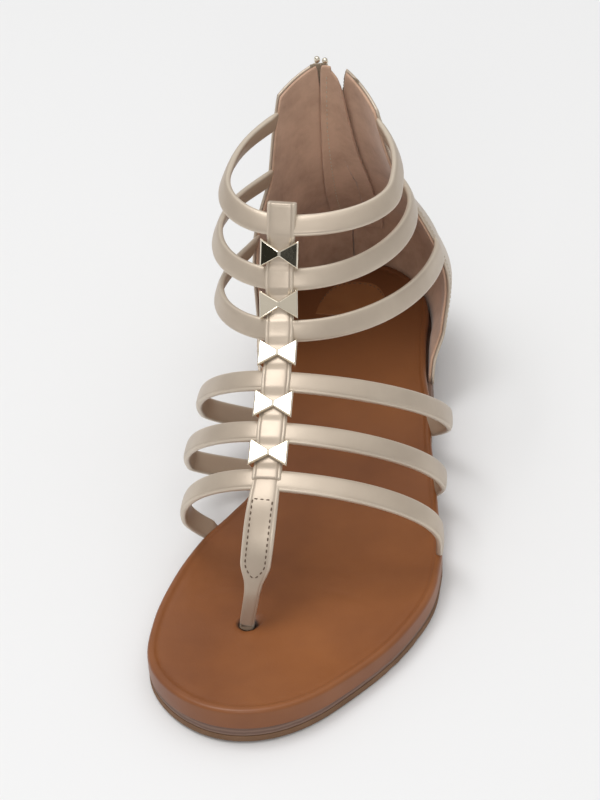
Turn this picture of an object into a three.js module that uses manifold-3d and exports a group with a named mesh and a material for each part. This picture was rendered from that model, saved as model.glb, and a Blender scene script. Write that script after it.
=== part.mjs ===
// Left gladiator sandal: low wedge sole, leather footbed, zipped heel counter, six cross straps on a
// centre bar with loops and bow studs, and a toe post. Millimetres, +Z up, toe to -Y, outer side +X.
import * as THREE from 'three';
import { mergeVertices } from 'three/addons/utils/BufferGeometryUtils.js';
import Module from 'manifold-3d';

const wasm = await Module();
wasm.setup();

// Driving dimensions
const soleLength = 246;
const heelY = soleLength / 2;
const gap = 0.3;
const roomAround = 0.9;
const wallThickness = 2.2;
const strapWidth = 7.5;
const strapThickness = 2.6;
const barWidth = 9.2;
const loopThickness = 4.8;
const barThickness = 2.6;
const outsoleThickness = 2.6;
const counterTip = { medial: 41, lateral: 57 };
const counterHead = 127;
const slotBottom = 46;
const slotHalf = 3.6;
const zipLineX = -3;
const sliderHeight = 104;
const slotSpread = { top: 133, medial: 1.6, lateral: 3.4 };
const bow = {
  width: 13, height: 9.8, neck: 1.8, lift: 0.9, plate: 1.2, sideWall: 1.1, sideLength: 6.4, back: 2.2,
};
const tape = { half: 3.3, front: 1.6, back: 0.6 };
const chain = { half: 2.2, rise: 0.4, split: 0.3, chamfer: 0.4, stopBelowTop: 1.5 };
const guard = { clear: 0.4, thickness: 1.5, seam: -2 / 11, free: 2.5 / 11, low: 0.2, high: 0.97 };
const slider = {
  low: -4.6, high: 4.6, narrow: 2.5, wide: 3.2, thickness: 1.3, bridgeHalf: 2.6, bridgeLift: 2.9, post: 0.9,
};
const pull = {
  pin: 0.65, pinHalf: 2.7, bar: 1.1, eyeLength: 5, length: 21, half: 2.6, thickness: 1.1, corner: 1.4,
};

// The sole's plan: centre line and half width at each distance s from the heel's back.
const heelCap = { depth: 40, half: 32 };
const toeCap = { start: 178, depth: 68, half: 44.1 };
const planRows = [
  { s: 0, centre: 1.2, half: 32 },
  { s: 40, centre: 0.6, half: 32 },
  { s: 60, centre: 2.35, half: 32.15 },
  { s: 80, centre: 5.2, half: 31.4 },
  { s: 100, centre: 8.25, half: 30.75 },
  { s: 120, centre: 11.35, half: 31.65 },
  { s: 132, centre: 12.3, half: 33 },
  { s: 143, centre: 10.95, half: 36.5 },
  { s: 160, centre: 8, half: 42 },
  { s: 178, centre: 5.2, half: 44.1 },
  { s: 200, centre: 0.2, half: 44.1 },
  { s: 228, centre: -6.1, half: 44.1 },
  { s: 246, centre: -6.8, half: 44.1 },
];
// The sole's side view: ground line, footbed underside and footbed top at each s.
const sideRows = [
  { s: 0, ground: 0.9, under: 15.6, top: 21 },
  { s: 12, ground: 0, under: 15.3, top: 20.6 },
  { s: 45, ground: 0, under: 14.3, top: 19.6 },
  { s: 76, ground: 0, under: 12.2, top: 17.6 },
  { s: 82, ground: 2.4, under: 11.6, top: 17 },
  { s: 104, ground: 2.6, under: 8.6, top: 14.4 },
  { s: 138, ground: 0, under: 4.9, top: 11 },
  { s: 165, ground: 0, under: 4.3, top: 10.3 },
  { s: 205, ground: 0, under: 4.4, top: 10.4 },
  { s: 228, ground: 0.2, under: 5, top: 11.8 },
  { s: 246, ground: 0.6, under: 6.6, top: 14 },
];
// The counter's outer wall at each height: back, widest line, half width there and centre.
const counterRows = [
  { z: 16, back: 123, widest: 83, half: 32, centre: 1 },
  { z: 38, back: 123, widest: 78, half: 33.6, centre: 2.6 },
  { z: 60, back: 112.5, widest: 60, half: 33.3, centre: 2.6 },
  { z: 83, back: 101, widest: 50, half: 30, centre: -0.8 },
  { z: 108, back: 94.5, widest: 42, half: 28, centre: -2.8 },
  { z: 126, back: 92, widest: 40, half: 26, centre: -3 },
];
// The counter's front edge at each height, inner (medial) and outer (lateral) side.
const edgeRows = [
  { z: 12, medial: 41, lateral: 56 },
  { z: 16, medial: 48, lateral: 60 },
  { z: 20, medial: 56, lateral: 63.5 },
  { z: 28, medial: 67, lateral: 70 },
  { z: 44, medial: 68, lateral: 74 },
  { z: 62, medial: 68, lateral: 72 },
  { z: 84, medial: 79, lateral: 80 },
  { z: 108, medial: 80, lateral: 79 },
  { z: 126, medial: 81, lateral: 84 },
];
// How far the outer side's wall leans out beyond the inner side's, at each height.
const leanRows = [
  { z: 12, lean: 0.3 }, { z: 18, lean: 1 }, { z: 28, lean: 4.6 }, { z: 38, lean: 4.8 },
  { z: 52, lean: 3.8 }, { z: 62, lean: 2.6 }, { z: 76, lean: 1 }, { z: 96, lean: 0 }, { z: 126, lean: 0 },
];
// Ankle straps: front point, widest points and ends on the counter.
const ankleStraps = [
  { front: [-8.8, 16.9, 106.8], medial: [-32.5, 42], lateral: [26.5, 42], medialEnd: 108, lateralEnd: 108 },
  { front: [-8.9, 8.8, 90.2], medial: [-36, 42], lateral: [29.5, 56], medialEnd: 84, lateralEnd: 84 },
  { front: [-7.7, -2.8, 77.2], medial: [-34.5, 32], lateral: [37.5, 64], medialEnd: 62, lateralEnd: 62 },
];
// Vamp straps: top point, widest half widths and their height, and where the ends meet the sole's edge.
const vampStraps = [
  { top: [-6.6, -19.2, 68.3], medial: 33.8, lateral: 52.8, widestZ: 28, medialY: 33, lateralY: 35 },
  { top: [-5.9, -35.6, 59.5], medial: 36, lateral: 52.8, widestZ: 20, medialY: 5, lateralY: 2.5 },
  { top: [-5.2, -52, 52.2], medial: 32.3, lateral: 54.8, widestZ: 22, medialY: -28.5, lateralY: -30.5 },
];
const toePost = { x: -10.1, y: -75.2 };

// Numbers between table rows: monotone cubic through the rows.
function along(rows, key, by) {
  const t = rows.map((row) => row[by]);
  const v = rows.map((row) => row[key]);
  const slope = v.slice(1).map((value, i) => (value - v[i]) / (t[i + 1] - t[i]));
  const tangent = v.map((value, i) => {
    if (i === 0) return slope[0];
    if (i === slope.length) return slope[i - 1];
    return slope[i - 1] * slope[i] <= 0 ? 0 : 2 / (1 / slope[i - 1] + 1 / slope[i]);
  });
  return (at) => {
    const x = Math.min(Math.max(at, t[0]), t[t.length - 1]);
    let i = 0;
    while (i < slope.length - 1 && x > t[i + 1]) i += 1;
    const h = t[i + 1] - t[i];
    const f = (x - t[i]) / h;
    return (2 * f ** 3 - 3 * f ** 2 + 1) * v[i] + (f ** 3 - 2 * f ** 2 + f) * h * tangent[i]
      + (3 * f ** 2 - 2 * f ** 3) * v[i + 1] + (f ** 3 - f ** 2) * h * tangent[i + 1];
  };
}
const planCentre = along(planRows, 'centre', 's');
const planHalf = along(planRows, 'half', 's');
const ground = along(sideRows, 'ground', 's');
const footbedUnder = along(sideRows, 'under', 's');
const footbedTop = along(sideRows, 'top', 's');
const counterBack = along(counterRows, 'back', 'z');
const counterWidest = along(counterRows, 'widest', 'z');
const counterHalf = along(counterRows, 'half', 'z');
const counterCentre = along(counterRows, 'centre', 'z');
const counterLean = along(leanRows, 'lean', 'z');
const counterEdge = { medial: along(edgeRows, 'medial', 'z'), lateral: along(edgeRows, 'lateral', 'z') };

const mix = (a, b, t) => a + (b - a) * t;
const clamp = (t) => Math.min(Math.max(t, 0), 1);
const smooth = (t) => clamp(t) ** 2 * (3 - 2 * clamp(t));

// Half width of the sole's plan, with a half ellipse at the heel and another at the toe.
function soleHalf(s) {
  if (s < heelCap.depth) {
    return heelCap.half * Math.sqrt(Math.max(0, 1 - ((heelCap.depth - s) / heelCap.depth) ** 2));
  }
  if (s > toeCap.start) {
    return toeCap.half * Math.sqrt(Math.max(0, 1 - ((s - toeCap.start) / toeCap.depth) ** 2));
  }
  return planHalf(s);
}
const soleEdge = (y, side) => planCentre(heelY - y) + side * soleHalf(heelY - y);

// A closed solid from rings of points that all have the same even count. Each end is capped by a strip
// that joins the ring's first half to its second.
function loft(rings) {
  const count = rings[0].length;
  const position = rings.flat().flatMap((point) => [point.x, point.y, point.z]);
  const index = [];
  for (let i = 0; i < rings.length - 1; i += 1) {
    for (let j = 0; j < count; j += 1) {
      const a = i * count + j;
      const b = i * count + (j + 1) % count;
      index.push(a, b, a + count, b, b + count, a + count);
    }
  }
  const last = (rings.length - 1) * count;
  for (let j = 0; j < count / 2 - 1; j += 1) {
    const far = count - 1 - j;
    index.push(j, far, far - 1, j, far - 1, j + 1);
    index.push(last + j, last + far - 1, last + far, last + j, last + j + 1, last + far - 1);
  }
  const geometry = new THREE.BufferGeometry();
  geometry.setAttribute('position', new THREE.Float32BufferAttribute(position, 3));
  geometry.setIndex(index);
  return geometry;
}

function solid(geometry) {
  const plain = geometry.clone();
  plain.deleteAttribute('normal');
  plain.deleteAttribute('uv');
  const merged = mergeVertices(plain, 1e-4);
  return new wasm.Manifold(new wasm.Mesh({
    numProp: 3,
    vertProperties: new Float32Array(merged.attributes.position.array),
    triVerts: new Uint32Array(merged.index.array),
  }));
}
// A loft may come out inside out, depending on which way its rings turn.
function loftSolid(rings) {
  const forward = solid(loft(rings));
  return forward.volume() > 0 ? forward : solid(loft([...rings].reverse()));
}
function geometryOf(body) {
  const mesh = body.getMesh();
  const geometry = new THREE.BufferGeometry();
  const position = [];
  for (let i = 0; i < mesh.numVert; i += 1) {
    position.push(...mesh.vertProperties.slice(i * mesh.numProp, i * mesh.numProp + 3));
  }
  geometry.setAttribute('position', new THREE.Float32BufferAttribute(position, 3));
  geometry.setIndex([...mesh.triVerts]);
  return geometry;
}

// Sole layers: cross sections along the foot, closer together at the round heel and toe.
const soleSteps = 36;
const seatLength = 60;
const stationMargin = 0.035;
const soleStations = Array.from({ length: soleSteps + 1 }, (_, i) => (
  soleLength * (0.5 - 0.5 * Math.cos(Math.PI * mix(stationMargin, 1 - stationMargin, i / soleSteps)))
));
function soleLayer({ bottom, top, inset, round, dish = 0, start = 0 }) {
  const rings = soleStations.map((plan) => {
    const s = plan + start * (1 - smooth(plan / seatLength));
    const e = inset(s);
    const half = soleHalf(plan) * (1 - e / heelCap.half);
    const centre = planCentre(plan);
    const low = bottom(s);
    const high = top(s);
    const r = Math.min(round, (high - low) * 0.45, half * 0.45);
    const rim = [[half - r * 0.5, low], [half, low + r * 0.5], [half, high - r], [half - r, high]];
    if (dish > 0) {
      const sink = dish * smooth(half / 20);
      rim.splice(3, 0, [half - r * 0.3, high - r * 0.3]);
      rim.push([half - r - Math.min(3, half * 0.25), high - sink * 0.6], [half * 0.3, high - sink]);
    }
    const mirrored = rim.map(([x, z]) => [-x, z]).reverse();
    return [...rim, ...mirrored].map(([x, z]) => new THREE.Vector3(centre + x, heelY - s, z));
  });
  return loftSolid(rings);
}

// The outsole stands in under the heel, and the footbed stands in behind the counter's wall.
const undercutDepth = 3.5;
const outsoleInset = (s) => 0.3 + undercutDepth * (1 - smooth(s / seatLength));
const counterInset = (s) => (wallThickness + gap) * (1 - smooth((s - 62) / 26));
const outsoleTop = (s) => ground(s) + outsoleThickness;
const outsole = soleLayer({
  bottom: ground, top: outsoleTop, inset: outsoleInset, round: 1, start: 5,
});
const wedgeBlank = soleLayer({
  bottom: (s) => outsoleTop(s) + gap,
  top: (s) => footbedUnder(s) - gap,
  inset: () => 0,
  round: 0.9,
});
const footbedBlank = soleLayer({
  bottom: footbedUnder, top: footbedTop, inset: counterInset, round: 2.2, dish: 1.2,
  start: wallThickness + gap,
});

// Outer wall of the counter: x at a height and a distance from the heel. Low down it is the sole's plan.
function counterX(y, z, side) {
  const back = counterBack(z);
  const widest = counterWidest(z);
  const lift = smooth((z - 16) / 40);
  const s = Math.max(back - y, 0);
  const plan = planCentre(s) + side * soleHalf(s);
  const reach = clamp((y - widest) / (back - widest));
  const fall = Math.sqrt(Math.max(0, 1 - reach ** 2));
  const shell = counterCentre(z) + side * counterHalf(z) * fall;
  return mix(plan, shell, lift) + (side > 0 ? counterLean(z) * fall : 0);
}
const counterSteps = 11;
const counterLevels = [0, 0.035, 0.075, 0.13, 0.22, 0.36, 0.5, 0.66, 0.84, 1];
// u runs from -1 at the medial front edge through 0 at the back to 1 at the lateral one.
function counterPoint(u, v, inset) {
  const side = u < 0 ? -1 : 1;
  const headDrop = side < 0 ? 9 : 13;
  const forward = 1 - Math.cos(Math.abs(u) * Math.PI / 2);
  const footY = mix(heelY, side < 0 ? counterTip.medial : counterTip.lateral, forward);
  const z = mix(footbedUnder(heelY - footY), counterHead - headDrop * Math.abs(u) ** 1.3, v);
  const edge = side < 0 ? counterEdge.medial(z) : counterEdge.lateral(z);
  const back = counterBack(z);
  const y = mix(back, edge, forward);
  const x = counterX(y, z, side);
  const step = 0.5;
  const slopeX = (counterX(y - step, z, side) - counterX(Math.min(y + step, back), z, side))
    / (2 * step);
  const normal = Math.abs(u) < 1e-6
    ? new THREE.Vector2(0, 1)
    : new THREE.Vector2(side, side * slopeX).normalize();
  return new THREE.Vector3(x - normal.x * inset, y - normal.y * inset, z);
}
// A layer of the counter between two depths, over a span of u and a list of levels.
function counterShell(outer, inner, fromU, toU, levels) {
  const steps = Math.round((toU - fromU) * counterSteps);
  const rings = [];
  for (let i = 0; i <= steps; i += 1) {
    const u = mix(fromU, toU, i / steps);
    const out = levels.map((v) => counterPoint(u, v, outer));
    const back = levels.map((v) => counterPoint(u, v, inner)).reverse();
    rings.push([...out, ...back]);
  }
  return loftSolid(rings);
}

// A flat strap carried along a path: `facing` gives the outward direction at each point.
const strapSides = [[0.42, 0.5], [0.5, 0], [0.42, -0.5], [-0.42, -0.5], [-0.5, 0], [-0.42, 0.5]];
function strap(path, facing, width, thickness, over = 0) {
  const last = path.length - 1;
  const rings = path.map((point, i) => {
    const before = path[Math.max(i - 1, 0)];
    const after = path[Math.min(i + 1, path.length - 1)];
    const tangent = after.clone().sub(before).normalize();
    const out = facing(point, i / (path.length - 1)).clone();
    out.addScaledVector(tangent, -out.dot(tangent)).normalize();
    const across = tangent.clone().cross(out);
    const wide = typeof width === 'function' ? width(i / (path.length - 1)) : width;
    const thick = typeof thickness === 'function' ? thickness(i / (path.length - 1)) : thickness;
    const longer = over * ((i === last) - (i === 0));
    return strapSides.map(([w, n]) => point.clone().addScaledVector(tangent, longer)
      .addScaledVector(across, w * wide).addScaledVector(out, n * thick));
  });
  return loftSolid(rings);
}

// Ankle strap: a quarter ellipse each side of the front, then a curve that runs into the counter.
const quarterSteps = 8;
const strapSeam = 3;
function anklePath(row) {
  const [frontX, frontY, frontZ] = row.front;
  const halves = ['medial', 'lateral'].map((name) => {
    const side = name === 'medial' ? -1 : 1;
    const [wideX, wideY] = row[name];
    const endZ = row[`${name}End`];
    const endY = counterEdge[name](endZ) + strapSeam;
    const inward = wallThickness / 2;
    const end = new THREE.Vector2(counterX(endY, endZ, side) - side * inward, endY);
    const ahead = new THREE.Vector2(counterX(endY - 4, endZ, side) - side * inward, endY - 4);
    const reach = endY - wideY;
    const heading = end.clone().sub(ahead).normalize();
    const curve = new THREE.CubicBezierCurve(
      new THREE.Vector2(wideX, wideY),
      new THREE.Vector2(wideX, wideY + reach * 0.45),
      end.clone().addScaledVector(heading, -reach * 0.4),
      end,
    );
    const plan = [];
    for (let i = 0; i < quarterSteps; i += 1) {
      const angle = (i / quarterSteps) * Math.PI / 2;
      plan.push(new THREE.Vector2(
        mix(frontX, wideX, Math.sin(angle)), mix(wideY, frontY, Math.cos(angle)),
      ));
    }
    plan.push(...curve.getPoints(quarterSteps));
    return plan.map((p) => new THREE.Vector3(
      p.x, p.y, mix(frontZ, endZ, (p.y - frontY) / (endY - frontY)),
    ));
  });
  return [...halves[0].reverse(), ...halves[1].slice(1)];
}
// Outward direction of an ankle strap: forward and up at the front, sideways and level at the sides.
function ankleFacing(row) {
  const [, frontY] = row.front;
  return (point) => {
    const centreX = (row.medial[0] + row.lateral[0]) / 2;
    const centreY = (row.medial[1] + row.lateral[1]) / 2;
    const round = clamp((point.y - frontY) / (92 - frontY));
    return new THREE.Vector3(
      (point.x - centreX) / 30, (point.y - centreY) / 45, mix(0.6, 0.15, round),
    ).normalize();
  };
}

// Vamp strap: half ellipse over the foot, then drawn in under itself to the sole's edge.
const vampSteps = 28;
const vampTurn = 125 * Math.PI / 180;
const vampEndRise = 2.2;
function vampPath(row) {
  const [topX, topY, topZ] = row.top;
  const path = [];
  for (let i = 0; i <= vampSteps; i += 1) {
    const turn = mix(-vampTurn, vampTurn, i / vampSteps);
    const side = turn < 0 ? -1 : 1;
    const name = side < 0 ? 'medial' : 'lateral';
    const endY = row[`${name}Y`];
    const tuck = clamp((Math.abs(turn) - Math.PI / 2) / (vampTurn - Math.PI / 2));
    const endZ = footbedUnder(heelY - endY) + vampEndRise;
    const endHalf = Math.abs(soleEdge(endY, side) - side * 1.2 - topX);
    const half = mix(row[name], endHalf, tuck ** 1.7);
    const x = topX + side * half * (tuck > 0 ? 1 : Math.abs(Math.sin(turn)));
    const z = tuck > 0 ? mix(row.widestZ, endZ, tuck) : mix(row.widestZ, topZ, Math.cos(turn));
    const y = mix(topY, endY, clamp((topZ - z) / (topZ - 9)));
    path.push(new THREE.Vector3(x, y, z));
  }
  return path;
}
function vampFacing(row) {
  const [topX, , topZ] = row.top;
  return (point) => new THREE.Vector3(
    (point.x - topX) / 40, mix(0, -0.42, clamp((point.z - 20) / (topZ - 20))),
    Math.max(point.z - 12, 0) / (topZ - 12) * 0.9,
  ).normalize();
}

// Centre bar: through every strap's middle, on down the toe post.
const barStations = [
  ...ankleStraps.map((row) => row.front), ...vampStraps.map((row) => row.top),
].map(([x, y, z]) => new THREE.Vector3(x, y, z));
const barCurve = new THREE.CatmullRomCurve3(barStations, false, 'centripetal');
const barLead = 5.1;
const barStart = barStations[0].clone().addScaledVector(barCurve.getTangent(0), -barLead);
const outwardOn = (tangent) => {
  const out = new THREE.Vector3(0, tangent.z, -tangent.y).normalize();
  return out.z < 0 ? out.negate() : out;
};
const loopReach = 0.25;
const loopFade = 0.06;
function barSolid() {
  const stations = barStations.length - 1;
  const steps = stations * 6;
  const path = [barStart];
  const facings = [outwardOn(barCurve.getTangent(0))];
  const thick = [loopThickness];
  for (let i = 0; i <= steps; i += 1) {
    const t = i / steps;
    const fromLoop = Math.abs(t * stations - Math.round(t * stations));
    path.push(barCurve.getPoint(t));
    facings.push(outwardOn(barCurve.getTangent(t)));
    thick.push(mix(loopThickness, barThickness, smooth((fromLoop - loopReach) / loopFade)));
  }
  const at = (list) => (point, f) => list[Math.round(f * (path.length - 1))];
  return strap(path, at(facings), barWidth, (f) => thick[Math.round(f * (path.length - 1))]);
}
const lastLoop = barStations[barStations.length - 1];
const postCurve = new THREE.CatmullRomCurve3([
  lastLoop.clone(),
  new THREE.Vector3(-5.6, -61.6, 46.4),
  new THREE.Vector3(-6.3, -69.2, 37),
  new THREE.Vector3(-7.7, -73.8, 24),
  new THREE.Vector3(toePost.x, toePost.y, footbedTop(heelY - toePost.y)),
  new THREE.Vector3(toePost.x - 0.4, toePost.y + 0.2, 6.6),
], false, 'centripetal');
const thongRows = [
  { f: 0, width: 9.2, thick: 3.6 },
  { f: 0.3, width: 10.6, thick: 3 },
  { f: 0.52, width: 10.2, thick: 3 },
  { f: 0.66, width: 6, thick: 3.6 },
  { f: 0.74, width: 5.2, thick: 4 },
  { f: 1, width: 4.8, thick: 4 },
];
const thongWidth = along(thongRows, 'width', 'f');
const thongThick = along(thongRows, 'thick', 'f');
function thongSolid(extra) {
  const path = postCurve.getSpacedPoints(22);
  const facing = (point, f) => outwardOn(postCurve.getTangentAt(clamp(f)));
  return strap(path, facing, (f) => thongWidth(f) + extra, (f) => thongThick(f) + extra, extra / 4);
}

const ankleBodies = ankleStraps.map((row) => strap(
  anklePath(row), ankleFacing(row), strapWidth, strapThickness,
));
const vampBodies = (extra) => vampStraps.map((row) => strap(
  vampPath(row), vampFacing(row), strapWidth + extra, strapThickness + extra, extra,
));

// The slot for the zip: straight up the back, opening above the slider. `spread` is how far one side
// has moved from the zip's line at a height.
const spread = (z, side) => {
  const share = Math.max(0, (z - sliderHeight) / (slotSpread.top - sliderHeight));
  return side * share * (side < 0 ? slotSpread.medial : slotSpread.lateral);
};
const cutDepth = { front: 80, back: 140 };
function slotCutter() {
  return loftSolid([slotBottom, sliderHeight, slotSpread.top].map((z) => {
    const left = zipLineX - slotHalf + spread(z, -1);
    const right = zipLineX + slotHalf + spread(z, 1);
    const { front, back } = cutDepth;
    const outline = [[left, front], [right, front], [right, back], [left, back]];
    return outline.map(([x, y]) => new THREE.Vector3(x, y, z));
  }));
}

// The counter's back at a height, on the zip's line.
const backLine = (z) => {
  const reach = Math.sqrt(1 - ((zipLineX - counterCentre(z)) / counterHalf(z)) ** 2);
  return mix(counterWidest(z), counterBack(z), reach);
};
// Zip: tape with a raised chain up its middle, in one strip below the slider and two above it.
function zipStrip(profile, heights, side) {
  return loftSolid(heights.map((z) => profile.map(([x, inset]) => (
    new THREE.Vector3(zipLineX + x + spread(z, side), backLine(z) - inset, z)
  ))));
}
function zipSolid() {
  const raised = -chain.rise;
  const whole = [
    [-tape.half, tape.back], [-chain.half, tape.back], [-chain.half + chain.chamfer, raised],
    [chain.half - chain.chamfer, raised], [chain.half, tape.back], [tape.half, tape.back],
    [tape.half, tape.front], [-tape.half, tape.front],
  ];
  const halfStrip = [
    [tape.half, tape.back], [chain.half, tape.back], [chain.half - chain.chamfer, raised],
    [chain.split, raised], [chain.split, tape.front], [tape.half, tape.front],
  ];
  const climb = (from, to, steps) => Array.from({ length: steps + 1 }, (_, i) => mix(from, to, i / steps));
  const lower = zipStrip(whole, climb(slotBottom + gap, sliderHeight, 8), 0);
  const upperHeights = climb(sliderHeight - 1, counterHead - chain.stopBelowTop, 4);
  const lateral = zipStrip(halfStrip, upperHeights, 1);
  const medial = zipStrip(halfStrip.map(([x, inset]) => [-x, inset]), upperHeights, -1);
  return lower.add(lateral).add(medial);
}

const basisOf = (frame) => (
  new THREE.Matrix4().makeBasis(frame.across, frame.along, frame.out).setPosition(frame.origin)
);
// A flat plate cut to an outline, standing from `low` to `high` along its frame's outward direction.
function plate(frame, outline, low, high) {
  const shape = new THREE.Shape(outline.map(([x, y]) => new THREE.Vector2(x, y)));
  const geometry = new THREE.ExtrudeGeometry(shape, { depth: high - low, bevelEnabled: false });
  geometry.translate(0, 0, low).applyMatrix4(basisOf(frame));
  return solid(geometry);
}
const block = (frame, [x0, x1], [y0, y1], low, high) => (
  plate(frame, [[x0, y0], [x1, y0], [x1, y1], [x0, y1]], low, high)
);

// Bow stud: two wings that meet at a narrow neck, and a side wall down each edge of the bar.
function bowSolid(t) {
  const along = barCurve.getTangent(t);
  const out = outwardOn(along);
  const frame = { origin: barCurve.getPoint(t), across: along.clone().cross(out), along, out };
  const low = barThickness / 2 + bow.lift;
  const high = low + bow.plate;
  const [w, h, n] = [bow.width / 2, bow.height / 2, bow.neck / 2];
  const sideFoot = barWidth / 2 + gap;
  const wings = plate(frame, [[-w, -h], [0, -n], [w, -h], [w, h], [0, n], [-w, h]], low, high);
  const wall = (side) => block(
    frame, [side * sideFoot, side * (sideFoot + bow.sideWall)].sort((a, b) => a - b),
    [-bow.sideLength / 2, bow.sideLength / 2], -bow.back, high,
  );
  return wings.add(wall(-1)).add(wall(1));
}

// Frame on the chain at the slider: across to -X, along the zip upwards, out behind the heel.
function sliderFrame() {
  const step = 2;
  const rise = backLine(sliderHeight + step) - backLine(sliderHeight - step);
  const up = new THREE.Vector3(0, rise, 2 * step).normalize();
  const across = new THREE.Vector3(-1, 0, 0);
  const out = across.clone().cross(up);
  const origin = new THREE.Vector3(zipLineX, backLine(sliderHeight) + chain.rise + gap, sliderHeight);
  return { origin, across, along: up, out };
}
const zipFrame = sliderFrame();
function sliderSolid() {
  const { low, high, narrow, wide, thickness, bridgeHalf, bridgeLift, post } = slider;
  const body = plate(zipFrame, [[-narrow, low], [narrow, low], [wide, high], [-wide, high]], 0, thickness);
  const bridge = block(zipFrame, [-post, post], [-bridgeHalf, bridgeHalf], thickness / 2, bridgeLift + post);
  const eye = bridgeHalf - post;
  const hole = block(zipFrame, [-2 * post, 2 * post], [-eye, eye], thickness, bridgeLift);
  return body.add(bridge.subtract(hole));
}
// The pull hangs on a round pin that passes under the slider's bridge, with a flat tab below it. Its arms
// end at the pin's middle, so that nothing but the pin turns near the slider.
const pinLift = (slider.thickness + slider.bridgeLift) / 2;
const pinSides = 16;
function pullSolid() {
  const { pin, pinHalf, bar, eyeLength, length, half, thickness, corner } = pull;
  const [back, front] = [pinLift - thickness / 2, pinLift + thickness / 2];
  const pinGeometry = new THREE.CylinderGeometry(pin, pin, 2 * pinHalf, pinSides);
  pinGeometry.rotateZ(Math.PI / 2).translate(0, 0, pinLift).applyMatrix4(basisOf(zipFrame));
  const arm = (side) => block(
    zipFrame, [side * (pinHalf - bar), side * pinHalf].sort((a, b) => a - b), [-eyeLength, 0], back, front,
  );
  const shoulder = -eyeLength + bar / 2;
  const tab = plate(zipFrame, [
    [-pinHalf, shoulder], [-half, -length + corner], [-half + corner, -length],
    [half - corner, -length], [half, -length + corner], [pinHalf, shoulder],
  ], back, front);
  return solid(pinGeometry).add(arm(-1)).add(arm(1)).add(tab);
}
// Flap inside the counter, sewn along its medial edge, that covers the zip.
const guardLevels = [...counterLevels.filter((v) => v > guard.low && v < guard.high), guard.high];
const guardBody = counterShell(
  wallThickness + guard.clear, wallThickness + guard.clear + guard.thickness,
  guard.seam, guard.free, guardLevels,
);

const counterBody = counterShell(0, wallThickness, -1, 1, counterLevels).subtract(slotCutter());
let upper = counterBody;
for (const body of [...ankleBodies, ...vampBodies(0), barSolid(), thongSolid(0)]) upper = upper.add(body);

const counterRoomBack = counterShell(-gap, wallThickness + roomAround, -1, 1, counterLevels);
const counterRoom = counterRoomBack
  .add(counterRoomBack.translate([0, -2 * gap, -gap]))
  .add(counterRoomBack.translate([0, gap, gap]));
let footbed = footbedBlank.subtract(counterRoom);
for (const body of [...vampBodies(roomAround), thongSolid(1.6)]) footbed = footbed.subtract(body);
let wedge = wedgeBlank;
for (const body of vampBodies(roomAround)) wedge = wedge.subtract(body);

const colours = {
  strap: '#c9b8a0', footbed: '#9c6238', wedge: '#94736a', outsole: '#b98e66',
  lining: '#b09382', tape: '#b8a88e', metal: '#e8d5b4',
};
function material(colour, roughness, metalness) {
  return new THREE.MeshStandardMaterial({ color: colour, roughness, metalness });
}
const finishes = {
  leather: material(colours.strap, 0.45, 0.2),
  footbed: material(colours.footbed, 0.5, 0),
  wedge: material(colours.wedge, 0.6, 0),
  rubber: material(colours.outsole, 0.8, 0),
  lining: material(colours.lining, 0.85, 0),
  tape: material(colours.tape, 0.8, 0),
  metal: material(colours.metal, 0.2, 1),
};

const sandal = new THREE.Group();
function place(name, body, finish) {
  const mesh = new THREE.Mesh(geometryOf(body), finish);
  mesh.name = name;
  sandal.add(mesh);
}
place('outsole', outsole, finishes.rubber);
place('wedge', wedge, finishes.wedge);
place('footbed', footbed, finishes.footbed);
place('upper', upper, finishes.leather);
place('zip', zipSolid(), finishes.tape);
place('zip_guard', guardBody, finishes.lining);
place('zip_slider', sliderSolid(), finishes.metal);
place('zip_pull', pullSolid(), finishes.metal);
barStations.slice(1).forEach((_, i) => {
  const t = (i + 0.5) / (barStations.length - 1);
  place(`bow_${i + 1}`, bowSolid(t), finishes.metal);
});

// The origin is at the middle of the object's box, on the ground.
const box = new THREE.Box3().setFromObject(sandal);
const middle = box.getCenter(new THREE.Vector3());
sandal.position.set(-middle.x, -middle.y, -box.min.z);

export default sandal;
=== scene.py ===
# Left gladiator sandal: leather, lining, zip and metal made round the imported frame.
# The tables are in millimetres in the shoe's own frame: the heel's back is at y = 123, the toe points to
# -Y and the outer side to +X.
import math

import bmesh
import bpy
import numpy as np
from mathutils import Matrix, Vector


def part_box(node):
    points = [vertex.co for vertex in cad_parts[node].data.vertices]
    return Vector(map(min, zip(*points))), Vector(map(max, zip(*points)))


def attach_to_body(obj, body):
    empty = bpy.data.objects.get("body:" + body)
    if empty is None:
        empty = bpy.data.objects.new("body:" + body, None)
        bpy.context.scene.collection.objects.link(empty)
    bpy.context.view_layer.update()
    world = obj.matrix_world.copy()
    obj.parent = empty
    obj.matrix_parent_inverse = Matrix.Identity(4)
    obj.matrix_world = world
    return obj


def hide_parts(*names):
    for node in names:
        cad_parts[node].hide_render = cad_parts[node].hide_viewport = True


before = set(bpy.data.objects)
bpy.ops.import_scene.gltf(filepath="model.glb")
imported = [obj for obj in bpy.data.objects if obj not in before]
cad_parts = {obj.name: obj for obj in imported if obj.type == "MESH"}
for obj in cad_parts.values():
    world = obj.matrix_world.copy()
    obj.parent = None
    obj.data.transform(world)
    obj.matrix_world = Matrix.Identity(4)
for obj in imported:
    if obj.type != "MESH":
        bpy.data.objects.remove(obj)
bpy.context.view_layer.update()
print("frame loaded:", len(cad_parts), "nodes")

shoe = {"length": 246.0, "heelY": 123.0, "wall": 2.2, "strapWidth": 7.5, "strapThickness": 2.6}
heelY = shoe["heelY"]

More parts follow.
